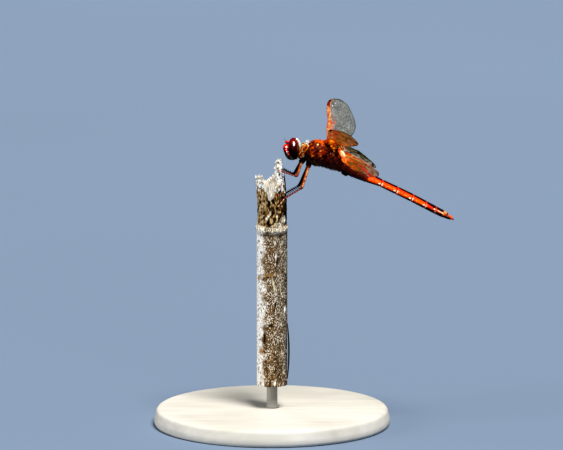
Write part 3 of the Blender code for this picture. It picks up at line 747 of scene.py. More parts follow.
# Small bright spots on the sides: place as (x, z), radius, and colour; the two palest are painted highlights
THORAX_SPOTS = (
    ((-5.6, 2.5), 0.34, (236, 96, 14)), ((-4.0, 1.35), 0.16, (250, 226, 190)),
    ((-8.45, 2.0), 0.3, (250, 196, 110)), ((-8.6, -1.6), 0.4, (216, 120, 16)),
    ((-7.1, 0.8), 0.36, (226, 140, 24)), ((-4.9, 2.9), 0.22, (240, 100, 16)),
    ((-3.0, 2.3), 0.34, (226, 74, 8)), ((-9.4, 0.6), 0.3, (186, 84, 8)), ((-6.3, -0.6), 0.3, (196, 92, 8)))
THORAX_TUFTS, COLLAR_TUFTS = 3000, 90
NECK_PATH = ((-13.2, 0.0, -2.3), (-12.5, 0.0, -2.0), (-11.75, 0.0, -1.65))
THORAX_END = ((0.6, 0.0, -1.2), (1.3, 1.5, 1.35))
COLLAR_RIDGE = ((-10.8, 1.5, 0.4), (-10.85, 2.1, -0.7), (-10.95, 2.2, -2.0), (-11.0, 1.8, -3.2))
PROTHORAX_CENTRE, PROTHORAX_SIZE, PROTHORAX_TILT = (-11.75, 0.0, -1.5), (0.62, 1.95, 2.2), radians(-12)


def line_distance(x, z, line):
    """Signed distance from a suture's line, positive behind it, in the body's side view."""
    (x1, z1), (x2, z2) = line
    length = sqrt((x2 - x1) ** 2 + (z2 - z1) ** 2)
    return ((x - x1) * (z1 - z2) + (z - z1) * (x2 - x1)) / length


def thorax_grid():
    table = [(*back, *belly, width) for back, belly, width in THORAX]
    curve = along_table(table, np.linspace(0, len(THORAX) - 1, THORAX_ROWS))
    grid = egg_rings(curve[:, 0:2], curve[:, 2:4], curve[:, 4], THORAX_WAIST, THORAX_AROUND)
    return relief(grid, -THORAX_INSET)


def thorax_tint(grid):
    x, y, z = axes(grid)
    blotch, gold = fuzz(grid, 0.9, 4.0, 4), fuzz(grid, 1.15, 14.0, 4)
    # A black band high on the sides below the wing roots: painted shade where the wings cover the thorax
    rim = bell(z - (3.35 + 0.14 * (x + 5)), 0, 0.42) * ease(-7.4, -6.4, x) * ease(0.5, 1.0, np.abs(y))
    # Dark red-brown with gold flecks: the orange along the back is partly painted light from above, and the
    # darker rear low down and the black belly are partly the thorax's own colour, partly painted shade
    tint = layers(
        mix((36, 3, 1), (116, 17, 1), unit(0.5 + 1.4 * blotch)),
        ((176, 76, 2), ease(0.08, 0.28, gold) * ease(-2.8, 0.4, z) * 0.7),
        ((206, 84, 2), ease(2.0, 3.0, z + 0.6 * blotch) * ease(-3.4, -5.2, x)),
        ((18, 3, 1), ease(-0.2, -2.2, z + 0.9 * blotch) * 0.9),
        ((44, 5, 1), ease(-5.0, -2.4, x) * ease(2.2, 0.6, z) * 0.7),
        (BLACK, ease(0.16, 0.3, fuzz(grid, 1.3, 33.0, 4)) * 0.75),
        (BLACK, ease(-2.5, -3.2, z) * 0.95),
        (BLACK, unit(rim * 1.3)))
    ragged = 0.5 * fuzz(grid, 2.5)
    # the spots, of which the two palest are painted highlights
    for (spot_x, spot_z), reach, tone in THORAX_SPOTS:
        away = np.sqrt((x - spot_x) ** 2 + (z - spot_z) ** 2) / reach + ragged
        tint = mix(tint, tone, ease(1.15, 0.55, away) * (np.abs(y) > 1))
    return tint


def make_thorax_hair(skin, tint):
    """Short silky hair over the thorax, lying back and down, and a pale tuft on the collar."""
    rng, pile = random.Random(3), Pile()
    normals = normals_of(skin)
    rows, around = skin.shape[:2]
    for _ in range(THORAX_TUFTS):
        i, j = rng.randrange(3, rows - 8), rng.randrange(around)
        root, out = Vector(skin[i, j]), Vector(normals[i, j])
        if root.x < -10.3 or rng.random() > 0.3 + 0.6 * (root.z < -2.6):
            continue
        way = out * 0.4 + Vector((0.6, 0, -0.4))
        pale = float(ease(-9.6, -10.8, root.x))
        tone = mix(unit(tint[i, j] * 1.3 + 0.002), (222, 120, 40), 0.04 + 0.3 * pale)
        if root.z < -2.6:
            way, tone = out * 0.9 + Vector((0.3, 0, 0)), colour(96, 60, 30)
        elif root.z > 1.6 and root.x < -8:
            way, tone = out + Vector((0.2, 0, 0)), mix(tone, (226, 140, 60), 0.4)
        reach = rng.uniform(0.3, 0.5)
        tuft(pile, rng, root, way, reach, 0.2, tone, (j / around, i / rows), radius=0.024)
    pile.make("thorax_hair", HAIR, BODY, "thorax", smooth=False)
    pile = Pile()
    for _ in range(COLLAR_TUFTS):
        root = Vector((rng.gauss(-11.45, 0.14), rng.gauss(0, 0.6), 0.75 + rng.uniform(-0.3, 0.3)))
        way = Vector((rng.gauss(0.1, 0.22), rng.gauss(0, 0.2), 1))
        tone = mix((255, 253, 248), (60, 24, 8), float(rng.random() < 0.2))
        place = (0.5 + root.y * 0.1, 0.5 + root.x * 0.01)
        tuft(pile, rng, root, way, rng.uniform(0.4, 1.1), 0.16, tone, place, 4)
    pile.make("collar_tuft", HAIR, BODY, "thorax", smooth=False)


def make_thorax():
    grid = thorax_grid()
    x, y, z = axes(grid)
    side = ease(0.4, 1.6, np.abs(y))
    height = 0.04 * fuzz(grid, 1.3, 7.0) + 0.25 * bell(y, 0, 0.16) * ease(-6.0, -7.0, x) * ease(0.5, 1.5, z)
    tint = thorax_tint(grid)
    for line in SUTURES:
        away = line_distance(x, z, line)
        height = height - 0.2 * bell(away, 0, 0.14) * side + 0.08 * bell(away, -0.45, 0.3) * side
        tint = mix(tint, BLACK, bell(away, 0, 0.12) * side * 0.7)
    for place in BACK_BUMPS:
        bump = bell(x, place, 0.5) * bell(y, 0, 1.1) * ease(1.5, 2.5, z)
        height = height + 0.3 * bump
        tint = mix(tint, (196, 66, 18), bump * 0.7)
    skin = relief(grid, height)
    single("thorax_skin", skin, tint, SHELL, BODY, "thorax", ["thorax"])
    make_thorax_hair(skin, tint)
    path, shares = resample(rounded(NECK_PATH, (1, 1), 0.3)[0], 24)
    grid = tube_grid(path, 0.95 + 0.04 * np.sin(shares * 40), 40)
    single("neck_skin", grid, colour(120, 52, 20), SHELL, BODY, "thorax", ["neck"])
    grid = ball(*THORAX_END, 60, 40)
    bumps = fuzz(grid, 1.5)
    tint = mix(BLACK, (70, 14, 6), 0.5 + bumps)
    single("thorax_end", relief(grid, 0.1 * bumps), tint, SHELL, BODY, "thorax")
    make_collar()


def make_collar():
    """A bright ridge down each side of the collar, and the tilted plate in front of it."""
    pile = Pile()
    for side in SIDES.values():
        path, shares = resample(rounded(mirrored(COLLAR_RIDGE, side), (1, 1, 1), 0.4)[0], 40)
        knobs = bell(shares, 0.02, 0.07) + bell(shares, 0.97, 0.06)
        tint = mix((255, 128, 14), (150, 40, 2), ease(0.2, 0.36, fuzz(path, 1.6, 3.0)))
        pile.tube(path, 0.19 + 0.14 * knobs, mix(tint, (255, 232, 170), unit(knobs))[:, None], 16)
    pile.make("collar_ridge", SHELL, BODY, "thorax")
    tilt = np.array(Matrix.Rotation(PROTHORAX_TILT, 3, "Y"))
    grid = ball((0, 0, 0), PROTHORAX_SIZE, 90, 60) @ tilt.T
    y, z = axes(grid)[1:]
    grid = relief(grid, 0.14 * bell(np.abs(y), 0.75, 0.5) * ease(0.3, 1.5, z))
    spots = fuzz(grid, 1.9, 31.0)
    tint = layers(
        mix((128, 48, 14), (214, 122, 44), unit(0.5 + 1.3 * fuzz(grid, 1.4, 3.0))),
        ((255, 224, 150), ease(0.2, 0.36, spots + 0.3 * ease(0.8, 1.6, grid[..., 2]))),
        (BLACK, ease(-0.12, -0.2, spots)))
    single("prothorax_plate", grid + PROTHORAX_CENTRE, tint, SHELL, BODY, "thorax", ["prothorax"])


# ---------------------------------------------------------------- abdomen

# Where each segment ends, the height of its back, the depth of its belly and half its width
ABDOMEN_START = (0.85, 1.95, 2.1, 2.0)
SEGMENTS = (
    (2.1, 2.05, 2.25, 2.3), (5.0, 1.85, 2.25, 2.45), (9.1, 1.3, 1.75, 2.0), (13.35, 1.15, 1.05, 2.0),
    (18.35, 1.32, 1.0, 2.1), (23.4, 1.38, 0.94, 2.1), (27.9, 1.28, 1.0, 1.95), (31.2, 1.18, 1.05, 1.7),
    (33.8, 1.1, 1.0, 1.35), (35.3, 0.9, 0.75, 1.05))
SEGMENT_ROWS, SEGMENT_AROUND, SEGMENT_WAIST, KEEL_SLOPE = 64, 132, 1.3, 0.38
HAMULES_CENTRE, HAMULES_SIZE = (2.6, 0.0, -2.15), (1.25, 0.85, 0.8)
CERCUS_LENGTH, EPIPROCT_LENGTH = 2.3, 1.7


def make_segment(number, start, end):
    """One segment with its keel, side seam and front groove."""
    share = np.linspace(-0.01, 1.0, SEGMENT_ROWS)
    scale = np.interp(share, (0, 0.12, 0.5, 0.9, 1.0), (0.94, 0.99, 1.0, 1.0, 1.04))
    x = lerp(start[0], end[0], share)
    back, belly, width = (lerp(start[k], end[k], share) * scale for k in (1, 2, 3))
    tops, bottoms = np.stack([x, back], -1), np.stack([x, -belly], -1)
    grid = egg_rings(tops, bottoms, width, SEGMENT_WAIST, SEGMENT_AROUND)
    down = round_side(SEGMENT_AROUND)[0] * np.ones((SEGMENT_ROWS, 1))
    along = share[:, None] * np.ones((1, SEGMENT_AROUND))
    y = grid[..., 1]
    keel = ease(0.5, 0.1, down) * ease(2.0, 5.0, number)
    flat = back[:, None] - KEEL_SLOPE * (back + belly)[:, None] * np.abs(y) / width[:, None]
    grid[..., 2] = lerp(grid[..., 2], np.minimum(grid[..., 2], flat), keel)
    height = 0.04 * bell(y, 0, 0.08) * (down < 0.5) + 0.06 * bell(down, 0.66, 0.02)
    height = height - 0.1 * bell(along, 0.05, 0.02) + 0.012 * fuzz(grid, 3.0, 2.0)
    tint = segment_tint(number, grid, down, along)
    name = f"abdomen_{number:02}"
    single(f"{name}_shell", relief(grid, height - 0.01), tint, SEGMENT, BODY, "abdomen", [name])


def segment_tint(number, grid, down, along):
    """Orange-red with a black line along the back, a black belly, and pale marks where rear segments end."""
    early, late = unit((4 - number) / 3), ease(6.5, 8, number)
    blotch, speck = fuzz(grid, 0.8, 6.0), fuzz(grid, 2.6, 12.0)
    line = (0.75 + 0.3 * along + late * 0.3) * ease(0.06, 0.14, along) * ease(1.0, 0.95, along)
    under = 0.73 - 0.09 * along * min(1, number / 4) - 0.05 * early - 0.12 * late
    tint = layers(
        mix((212, 24, 0), (248, 70, 0), bell(down, 0.42, 0.18) * unit(0.9 + blotch)),
        # painted glints: an orange stipple along the middle of the side
        ((255, 150, 20), bell(down, 0.5, 0.12) * ease(0.06, 0.24, speck) * 0.8),
        ((122, 50, 8), early * 0.8),
        ((196, 14, 0), 0.8 * (number == 8) * ease(0.15, 0.25, along)),
        (BLACK, ease(line + 0.08, line, np.abs(grid[..., 1])) * (down < 0.5) * 0.98),
        (BLACK, ease(under - 0.04, under + 0.01, down + 0.05 * blotch)))
    # On the first three segments the flank is painted dark red to black: painted shade under the wing roots
    if number < 4:
        flank = mix((92, 14, 2), (34, 4, 2), ease(0.42, 0.58, down + 0.3 * blotch))
        return mix(tint, flank, ease(0.3, 0.48, down) * ease(under + 0.06, under, down) * 0.95)
    patch = bell(along, 0.93, 0.1 + 0.03 * number / 10) * bell(down, under - 0.09, 0.06) * (number < 10)
    tint = layers(
        tint,
        ((255, 236, 196), ease(0.3, 0.7, patch + 0.3 * speck)),
        ((150, 8, 2), unit(bell(along, 0.99, 0.03) + bell(along, 0.0, 0.05)) * 0.9),
        ((255, 244, 226), bell(along, 0.09, 0.03) * bell(down, 0.56, 0.12) * (number > 4)))
    if number == 9:
        tint = layers(
            tint,
            ((150, 14, 0), ease(0.45, 0.5, down) * ease(under, under - 0.05, down)),
            # the pale line along the ninth segment's side is a painted highlight
            ((250, 214, 170), bell(down, 0.42, 0.04) * ease(0.2, 0.4, along)))
    if number == 10:
        tint = layers(
            tint,
            ((244, 150, 70), ease(0.5, 0.3, down) * ease(0.9, 0.5, along) * 0.8),
            (BLACK, ease(0.5, 0.62, down)))
    return tint


def make_abdomen():
    """The ten segments, the hamules under the second, and the cerci and the epiproct at the tail."""
    for number, (start, end) in enumerate(pairwise([ABDOMEN_START, *SEGMENTS]), 1):
        make_segment(number, start, end)
    grid = ball(HAMULES_CENTRE, HAMULES_SIZE, 64, 40)
    grid = relief(grid, -0.25 * bell(grid[..., 1], 0, 0.25) + 0.1 * fuzz(grid, 1.6))
    tint = mix(BLACK, (70, 20, 10), 0.5 + fuzz(grid, 2.0))
    single("hamules_shell", grid, tint, SEGMENT, BODY, "abdomen", ["hamules"])
    tail = SEGMENTS[-1][0]
    s = np.linspace(0, 1, 30)
    radii = np.interp(s, (0, 0.25, 0.55, 0.85, 0.97, 1), (0.2, 0.3, 0.34, 0.24, 0.1, 0.02))
    tint = mix((232, 84, 16), (60, 12, 8), ease(0.6, 1, s))[:, None]
    for name, side in SIDES.items():
        y, z = side * (0.42 + 0.22 * np.sin(pi * s)), 0.32 - 0.5 * s * s
        grid = tube_grid(np.stack([tail + CERCUS_LENGTH * s, y, z], -1), radii, 24)
        single(f"cercus_{name}_shell", grid, tint, SEGMENT, BODY, "abdomen", [f"cercus_{name}"])
    s = np.linspace(0, 1, 24)
    path = np.stack([tail + EPIPROCT_LENGTH * s, 0 * s, -0.42 + 0.1 * s + 0.1 * s * s], -1)
    grid = tube_grid(path, np.interp(s, (0, 0.4, 0.8, 0.97, 1), (0.36, 0.34, 0.22, 0.1, 0.02)), 24)
    single("epiproct_shell", grid, colour(30, 9, 6), SEGMENT, BODY, "abdomen", ["epiproct"])


# ---------------------------------------------------------------- legs

COXA_RADIUS, FEMUR_RADIUS, FRONT_FEMUR_RADIUS, TIBIA_RADIUS, TARSUS_RADIUS = 0.85, 0.45, 0.36, 0.3, 0.26
KNEE_BEND, GAP = 0.7, 0.08
LEG_ROWS, LEG_AROUND, SPINE_STEP = 260, 28, 0.6
FEMUR_SPINE, TIBIA_SPINE = 0.5, 1.15
MID_COXA = ((-10.2, 0.8, -3.6), (-10.4, 1.15, -4.9))
HIND_COXA = ((-8.4, 0.8, -3.7), (-8.0, 1.2, -4.9))
FRONT_COXA = ((-11.7, 0.9, -2.5), (-11.5, 2.2, -3.8))
MID_KNEES = {"left": (7.3, -3.0, 0.9), "right": (6.4, 3.0, 0.5)}
HIND_KNEES = {"left": (8.8, -3.8, -2.4), "right": (8.05, 3.6, -2.9)}
MID_GRIP = (36.0, 62.0, 2.4, 3.2)
HIND_GRIPS = {"left": (38.0, 70.0, -5.7, -8.0), "right": (38.0, 70.0, -5.3, -7.5)}
FRONT_KNEES = ((-10.75, 3.35, -0.1), (-11.35, 3.45, 0.5), (-11.95, 3.35, -0.1))
FRONT_FOOT = ((-12.2, 3.1, -3.1), (-12.1, 2.4, -4.5))


def grip_points(side, grip):
    """The foot's points on the bark, between two angles and two heights."""
    first, last, start, end = grip
    share = np.array((0.0, 0.33, 0.67, 1.0))
    radius = REED_RADIUS - 0.2 + TARSUS_RADIUS + GAP
    return reed_surface(radius, side * np.radians(lerp(first, last, share)), lerp(start, end, share))


def make_legs():
    """Each leg with its coxa, femur, tibia and tarsus, two rows of spines, and two claws."""
    rim = Vector((0, 0, RIM))
    for name, side in SIDES.items():
        mid, hind, front, knees, foot = ([BODY @ point for point in mirrored(points, side)] for points in (
            MID_COXA, HIND_COXA, FRONT_COXA, FRONT_KNEES, FRONT_FOOT))
        mid += [rim + Vector(MID_KNEES[name]), *grip_points(side, MID_GRIP)]
        hind += [rim + Vector(HIND_KNEES[name]), *grip_points(side, HIND_GRIPS[name])]
        make_leg(f"leg_mid_{name}", side, mid, 1, False)
        make_leg(f"leg_hind_{name}", side, hind, 1, False)
        make_leg(f"leg_front_{name}", side, front + knees + foot, len(knees), True)


def make_leg(node, side, points, knees, front):
    """A leg through its points: two of the coxa, the knees, the ankle and the foot."""
    points = [Vector(point) for point in points]
    femur = FRONT_FEMUR_RADIUS if front else FEMUR_RADIUS
    lengths = [COXA_RADIUS, *[femur] * knees, TIBIA_RADIUS, *[TARSUS_RADIUS] * (len(points) - knees - 3)]
    path, radii = rounded(points, lengths, KNEE_BEND)
    marks = np.concatenate([[0], np.cumsum([(b - a).length for a, b in pairwise(path)])])
    fine, share = resample(path, LEG_ROWS)
    at = share * marks[-1]
    corners = [marks[min(range(len(path)), key=lambda k: (path[k] - point).length)] for point in points]
    joints = trochanter, knee, ankle = corners[1], corners[1 + knees], corners[2 + knees]
    radius = leg_radius(at, np.interp(at, marks, radii), joints, front)
    grid = tube_grid(fine, radius, LEG_AROUND)
    # How far each point faces out from the body and a little forward and up: the leg's own orange stripe, and
    # a painted highlight where it is greatest
    outer_and_lit = (grid - fine[:, None]) / radius[:, None, None] @ np.array((0.35, side * 0.85, 0.3))
    pile = Pile()
    pile.grid(grid, leg_tint(grid, outer_and_lit, at[:, None] * np.ones(LEG_AROUND), joints, front))
    thigh, shin = (np.mean([np.array(point) for point in points[k:k + 2]], 0) for k in (knees, 1 + knees))
    long, thick = (0.25, 0.1) if front else (0.5, 0.1) if side > 0 else (1, 0.17)
    for low, high, reach, folded in ((trochanter + 1, knee - 0.4, FEMUR_SPINE * long, shin - thigh),
                                     (knee + 0.5, ankle, TIBIA_SPINE * long, thigh - shin)):
        places = np.searchsorted(at, np.arange(low, high, SPINE_STEP))
        add_spines(pile, fine, radius, places, reach, thick, folded)
    tip, way = Vector(fine[-1]), Vector(fine[-1] - fine[-6]).normalized()
    for row in (-1, 1):
        flank = way.cross(Vector((0, 0, 1))).normalized() * row
        pile.blade(tip - way * 0.1, tip + way * 0.34 + flank * 0.22, way * 0.06 + flank * 0.1, 0.06, BLACK)
    pile.make(f"{node}_limb", LEG, ROW, "leg", [node])


def leg_radius(at, radius, joints, front):
    """A leg's thickness along it: swollen at the trochanter and the knee, and pinched along the tarsus."""
    trochanter, knee, ankle = joints
    end = at[-1]
    slim = 0.7 if front else 0.9
    radius = radius * lerp(1.0, slim, ease(trochanter, trochanter + 1, at))
    radius = radius * (1 + 0.2 * bell(at, trochanter + 0.2, 0.35) + 0.3 * bell(at, knee, 0.35))
    radius = radius * (1 - 0.12 * bell(at, knee + 0.8, 0.5)) * np.where(at > ankle, 0.62, 1)
    radius = radius * lerp(1.0, 0.8, ease(knee, knee + 1, at) * ease(ankle, ankle - 1, at))
    for joint in np.linspace(ankle, end, 4)[:-1]:
        radius = radius * (1 - 0.35 * bell(at, joint + 0.1, 0.1))
    return radius * (1 - ease(end - 0.3, end, at) * 0.6)


def leg_tint(grid, outer_and_lit, place, joints, front):
    """Dark, with an outer stripe that is orange to the knee, red beyond it and pale at the foot, and a
    painted highlight.
    """
    trochanter, knee, ankle = joints
    stripe = outer_and_lit + 0.25 * fuzz(grid, 1.5)
    bands = mix((240, 204, 160), (130, 56, 20), 0.5 + 0.5 * np.sin(place * 5))
    bright = layers(
        # the pale end of this mix is a painted highlight
        mix((150, 56, 2), (250, 190, 116), ease(0.85, 1.1, stripe)),
        ((112, 22, 6), ease(knee - 0.8, knee + 0.4, place)),
        (bands, ease(ankle - 0.3, ankle + 0.2, place)))
    if front:
        bright = mix((250, 128, 24), (120, 40, 4), ease(0.12, 0.3, fuzz(grid, 1.6)))
    ticks = ease(knee, knee + 1, place) * ease(ankle, ankle - 0.5, place)
    bright = mix(bright, (224, 130, 100), ticks * ease(0.2, 0.9, np.sin(place * 7)) * 0.5)
    dark = mix((16, 5, 3), (76, 9, 3), ease(knee, knee + 1, place))
    return mix(dark, bright, ease(0.1, 0.6, stripe) * ease(trochanter - 0.1, trochanter + 0.8, place))


def add_spines(pile, path, radius, places, reach, thick, folded):
    """Two rows of spines along the inner side of a femur or tibia."""
    inner = Vector(folded).normalized()
    for row in (-1, 1):
        for k in (int(place) for place in places):
            way = Vector(path[min(k + 3, LEG_ROWS - 1)] - path[k - 3]).normalized()
            flank = way.cross(inner).normalized()
            out = (inner - way * inner.dot(way)).normalized() + flank * row * 0.5
            root = Vector(path[k]) + out.normalized() * radius[k] * 0.85
            tip = root + (out + way * 0.7).normalized() * reach
            pile.blade(root, tip, way * -0.03, thick, colour(12, 6, 5))


# ---------------------------------------------------------------- wings

# Root x and z, length, greatest chord and where along, the root's share of it, the tip's two curves, how soon
# the chord grows, and how far the tip bends back
WINGS = {
    "fore": (-6.3, 3.95, 42.5, 9.35, 0.57, 0.36, 1.65, 3.1, 1.8, 3.0),
    "hind": (-2.3, 3.05, 41.0, 12.6, 0.26, 0.36, 2.2, 2.6, 2.2, 4.8)}
# How far each rises, sweeps back and twists, in degrees
WING_POSES = {
    "fore_left": (9.0, 6.3, 6.3), "fore_right": (13.2, 4.0, 4.2), "hind_left": (-0.7, -0.5, 2.0),
    "hind_right": (-0.3, -4.5, -1.4)}
WING_ROOT_Y, WING_CAMBER, WING_BOW, TIP_CURVE = 0.9, 0.3, 0.15, 14
NODUS, NODUS_DEPTH, NOTCH = 0.46, 0.285, (0.4, 0.1)
# The long veins, as shares of the span and of the chord
VEINS = {
    "subcosta": ((0, 0.1), (0.1, 0.08), (0.3, 0.065), (0.46, 0.0)),
    "radius": ((0, 0.16), (0.1, 0.13), (0.3, 0.12), (0.5, 0.085), (0.7, 0.085), (0.9, 0.1), (0.97, 0.14)),
    "radial_1": (
        (0.12, 0.19), (0.3, 0.216), (0.42, 0.255), (0.46, 0.285), (0.56, 0.235), (0.64, 0.186), (0.72, 0.157),
        (0.85, 0.16), (0.97, 0.26)),
    "radial_2": ((0.46, 0.286), (0.6, 0.33), (0.8, 0.46), (0.93, 0.64), (0.97, 0.82)),
    "intercalar": ((0.3, 0.3), (0.5, 0.42), (0.7, 0.56), (0.85, 0.76), (0.9, 0.93)),
    "radial_3": ((0.25, 0.27), (0.45, 0.5), (0.6, 0.64), (0.75, 0.85), (0.8, 1)),
    "media": ((0.12, 0.26), (0.3, 0.44), (0.45, 0.66), (0.6, 0.86), (0.66, 1)),
    "media_2": ((0.18, 0.55), (0.3, 0.68), (0.42, 0.86), (0.5, 1)),
    "cubitus": ((0.15, 0.6), (0.25, 0.8), (0.33, 1)),
    "anal": ((0, 0.45), (0.08, 0.6), (0.12, 0.85), (0.15, 1))}
VEIN_END = 0.995
# How warm each wing's veins are painted: the near wings warm and the far ones duller, a painted difference of
# light through wings that are alike
VEIN_WARMTH = {"fore_left": 1.0, "fore_right": 0.55, "hind_left": 1.0, "hind_right": 0.15}
VEIN_RADII = {"costa": 0.095, "subcosta": 0.055, "radius": 0.08, "radial_1": 0.05, "media": 0.05}
THIN_VEIN, MARGIN_RADIUS, CROSS_WIDTH, CROSS_HEIGHT = 0.046, 0.045, 0.04, 0.026
LADDER_STEP, CELL_STEP, CELL_DEPTH, CELL_JUT, COSTA_CELLS = 0.95, 0.74, 0.7, 0.13, (0.03, 0.985)
FILM_THICKNESS, FILM_ROWS, FILM_COLUMNS, FILM_STRETCH = 0.04, 190, 84, 0.3
STIGMA, STIGMA_THICKNESS = (0.765, 0.92), 0.14
# The hinge's vein roots: share of the chord, thickness and colour
HINGE_ROOTS = (
    (0.03, 0.3, (206, 74, 2)), (0.2, 0.42, (240, 110, 4)), (0.5, 0.3, (186, 60, 2)),
    (0.85, 0.24, (120, 40, 4)))
SWELLING_CENTRE, SWELLING_SIZE = (1.45, 4.6, -0.25), (0.95, 2.6, 0.72)
# The hinge's plates: centre, size and colour
HINGE_PLATES = {
    "fore": (
        ((-5.45, 2.5, 4.5), (0.85, 0.5, 0.75), (255, 132, 0)),
        ((-6.4, 1.5, 3.8), (0.6, 0.5, 0.45), (206, 60, 2)),
        ((-4.2, 1.35, 3.75), (1.3, 0.8, 0.7), (170, 70, 2)),
        ((-4.7, 2.3, 3.4), (0.45, 0.35, 0.35), (250, 160, 8)),
        ((-5.6, 2.3, 2.9), (0.5, 0.35, 0.5), (24, 8, 4)),
        ((-3.9, 2.6, 3.1), (0.5, 0.4, 0.34), (250, 140, 0)),
        ((-3.0, 1.3, 3.75), (1.0, 0.7, 0.65), (150, 124, 40))),
    "hind": (
        ((-2.3, 1.3, 3.3), (1.4, 0.9, 0.85), (176, 76, 6)),
        ((-1.2, 1.6, 2.9), (0.9, 0.6, 0.6), (240, 100, 0)),
        ((-3.2, 2.0, 2.5), (0.5, 0.35, 0.32), (250, 140, 4)),
        ((-2.5, 2.3, 1.9), (0.6, 0.4, 0.5), (24, 8, 4)),
        ((0.1, 1.1, 2.2), (1.3, 0.9, 0.9), (190, 70, 2)))}


def wing_edges(wing, share):
    chord, widest, root, tip_a, tip_b, fill, tip_back = wing[3:]
    share = np.asarray(share, float)
    near = root + (1 - root) * (1 - unit(1 - share / widest) ** fill)
    outer = unit((share - widest) / (1 - widest))
    far = unit(1 - outer**tip_a) ** (1 / tip_b)
    width = np.where(share < widest, near, far)
    lead = -WING_BOW * np.sin(pi * share) + tip_back * share**TIP_CURVE
    return lead + NOTCH[0] * bell(share, NODUS, NOTCH[1]), lead + chord * width


def wing_matrix(wing, pose, side):
    rise, sweep, twist = (radians(angle) for angle in pose)
    turned = Matrix.Rotation(side * rise, 4, "X") @ Matrix.Rotation(side * sweep, 4, "Z")
    root = Matrix.Translation((wing[0], side * WING_ROOT_Y, wing[1]))
    return BODY @ root @ turned @ Matrix.Rotation(-twist, 4, "Y")


def wing_point(wing, side, share, c):
    """Points on the wing's middle surface, with camber, and pleats that fade towards the tip."""
    share, c = np.asarray(share, float), np.asarray(c, float)
    lead, trail = wing_edges(wing, share)
    fade = 1 - 0.8 * share
    pleat = 0.16 * bell(c, 0.0, 0.035) - 0.14 * bell(c, 0.06, 0.03) + 0.16 * bell(c, 0.125, 0.035)
    pleat = pleat - 0.12 * bell(c, 0.2, 0.04) + 0.05 * np.sin(c * 34) * ease(0.25, 0.4, c)
    z = WING_CAMBER * np.sin(pi * c) + fade * pleat - 0.05
    return np.stack([lerp(lead, trail, c), side * share * wing[2], z], -1)


def slab(middle, thickness):
    """A sheet of some thickness round a middle surface, as rings."""
    up = np.array((0, 0, thickness / 2))
    return np.concatenate([middle + up, (middle - up)[:, ::-1]], 1)


def vein_span(name):
    return (0.0, VEIN_END) if name in ("costa", "margin") else (VEINS[name][0][0], VEINS[name][-1][0])


def vein_at(name, share):
    """The chord share of a vein at a span share, or None where it doesn't run."""
    if name in ("costa", "margin"):
        return float(name == "margin")
    low, high = vein_span(name)
    if not low <= share <= high:
        return None
    return float(np.interp(share, *zip(*VEINS[name])))


def next_vein(name, share):
    """The nearest vein behind this one at a span share."""
    own = vein_at(name, share)
    found = [(vein_at(other, share), other) for other in (*VEINS, "margin") if other != name]
    found = [pair for pair in found if pair[0] is not None and pair[0] > own + 1e-4]
    return min(found) if found else None


def vein_tint(share, c, warmth):
    """Orange along the front and near the base, brown behind and beyond."""
    return layers(
        mix((44, 38, 22), (96, 50, 10), ease(1.0, 0.5, c) * warmth),
        ((186, 58, 0), ease(0.5, 0.2, c) * unit(warmth - 0.5 * share)),
        ((176, 78, 12), ease(0.2, 0.14, c) * ease(0.99, 0.75, share)),
        ((206, 64, 0), bell(share, 0, 0.14)))


def add_veins(pile, name, wing, side):
    for vein in ("costa", *VEINS, "margin"):
        low, high = vein_span(vein)
        share = np.linspace(low, high, max(8, int((high - low) * wing[2] / 0.5)))
        c = np.array([vein_at(vein, s) for s in share])
        if vein == "margin":
            share, c = share[3:], c[3:]
        size = VEIN_RADII.get(vein, THIN_VEIN) * (1.25 - 0.7 * share) * (1.7 if name == "hind_right" else 1)
        tint = vein_tint(share, c, VEIN_WARMTH[name])
        if vein == "margin":
            size = 0 * share + MARGIN_RADIUS
            tint = mix(tint, (30, 20, 12), 0.7 + 0 * share)
        if vein == "costa":
            size = size * (1 + 0.35 * bell(share, NODUS, 0.012))
            tint = mix(tint, (52, 18, 12), ease(0.75, 0.78, share))
        if vein == "radial_1":
            tint = mix(tint, (232, 76, 10), bell(share, 0.45, 0.22))
        if vein == "radius":
            tint = mix(tint, (226, 100, 40), bell(share, 0.45, 0.3) * 0.7)
        # A painted highlight: the near hind wing's radius and subcosta are painted pale near the root, and
        # the radius is drawn thicker there
        if vein in ("radius", "subcosta") and name == "hind_left":
            painted_highlight = ease(0.34, 0.28, share)
            size = size * (1 + 2.8 * painted_highlight * (vein == "radius"))
            tint = mix(tint, (255, 246, 196), painted_highlight)
        # The far hind wing's veins are painted dark beyond the root: painted shade, as seen against the light
        if name == "hind_right":
            tint = mix(tint, (34, 22, 12), ease(0.1, 0.3, share))
        pile.tube(wing_point(wing, side, share, c), size, tint[:, None], 7)
    c = np.linspace(0, NODUS_DEPTH, 12)
    pile.tube(wing_point(wing, side, NODUS + 0 * c, c), 0.06, colour(228, 88, 20), 6)


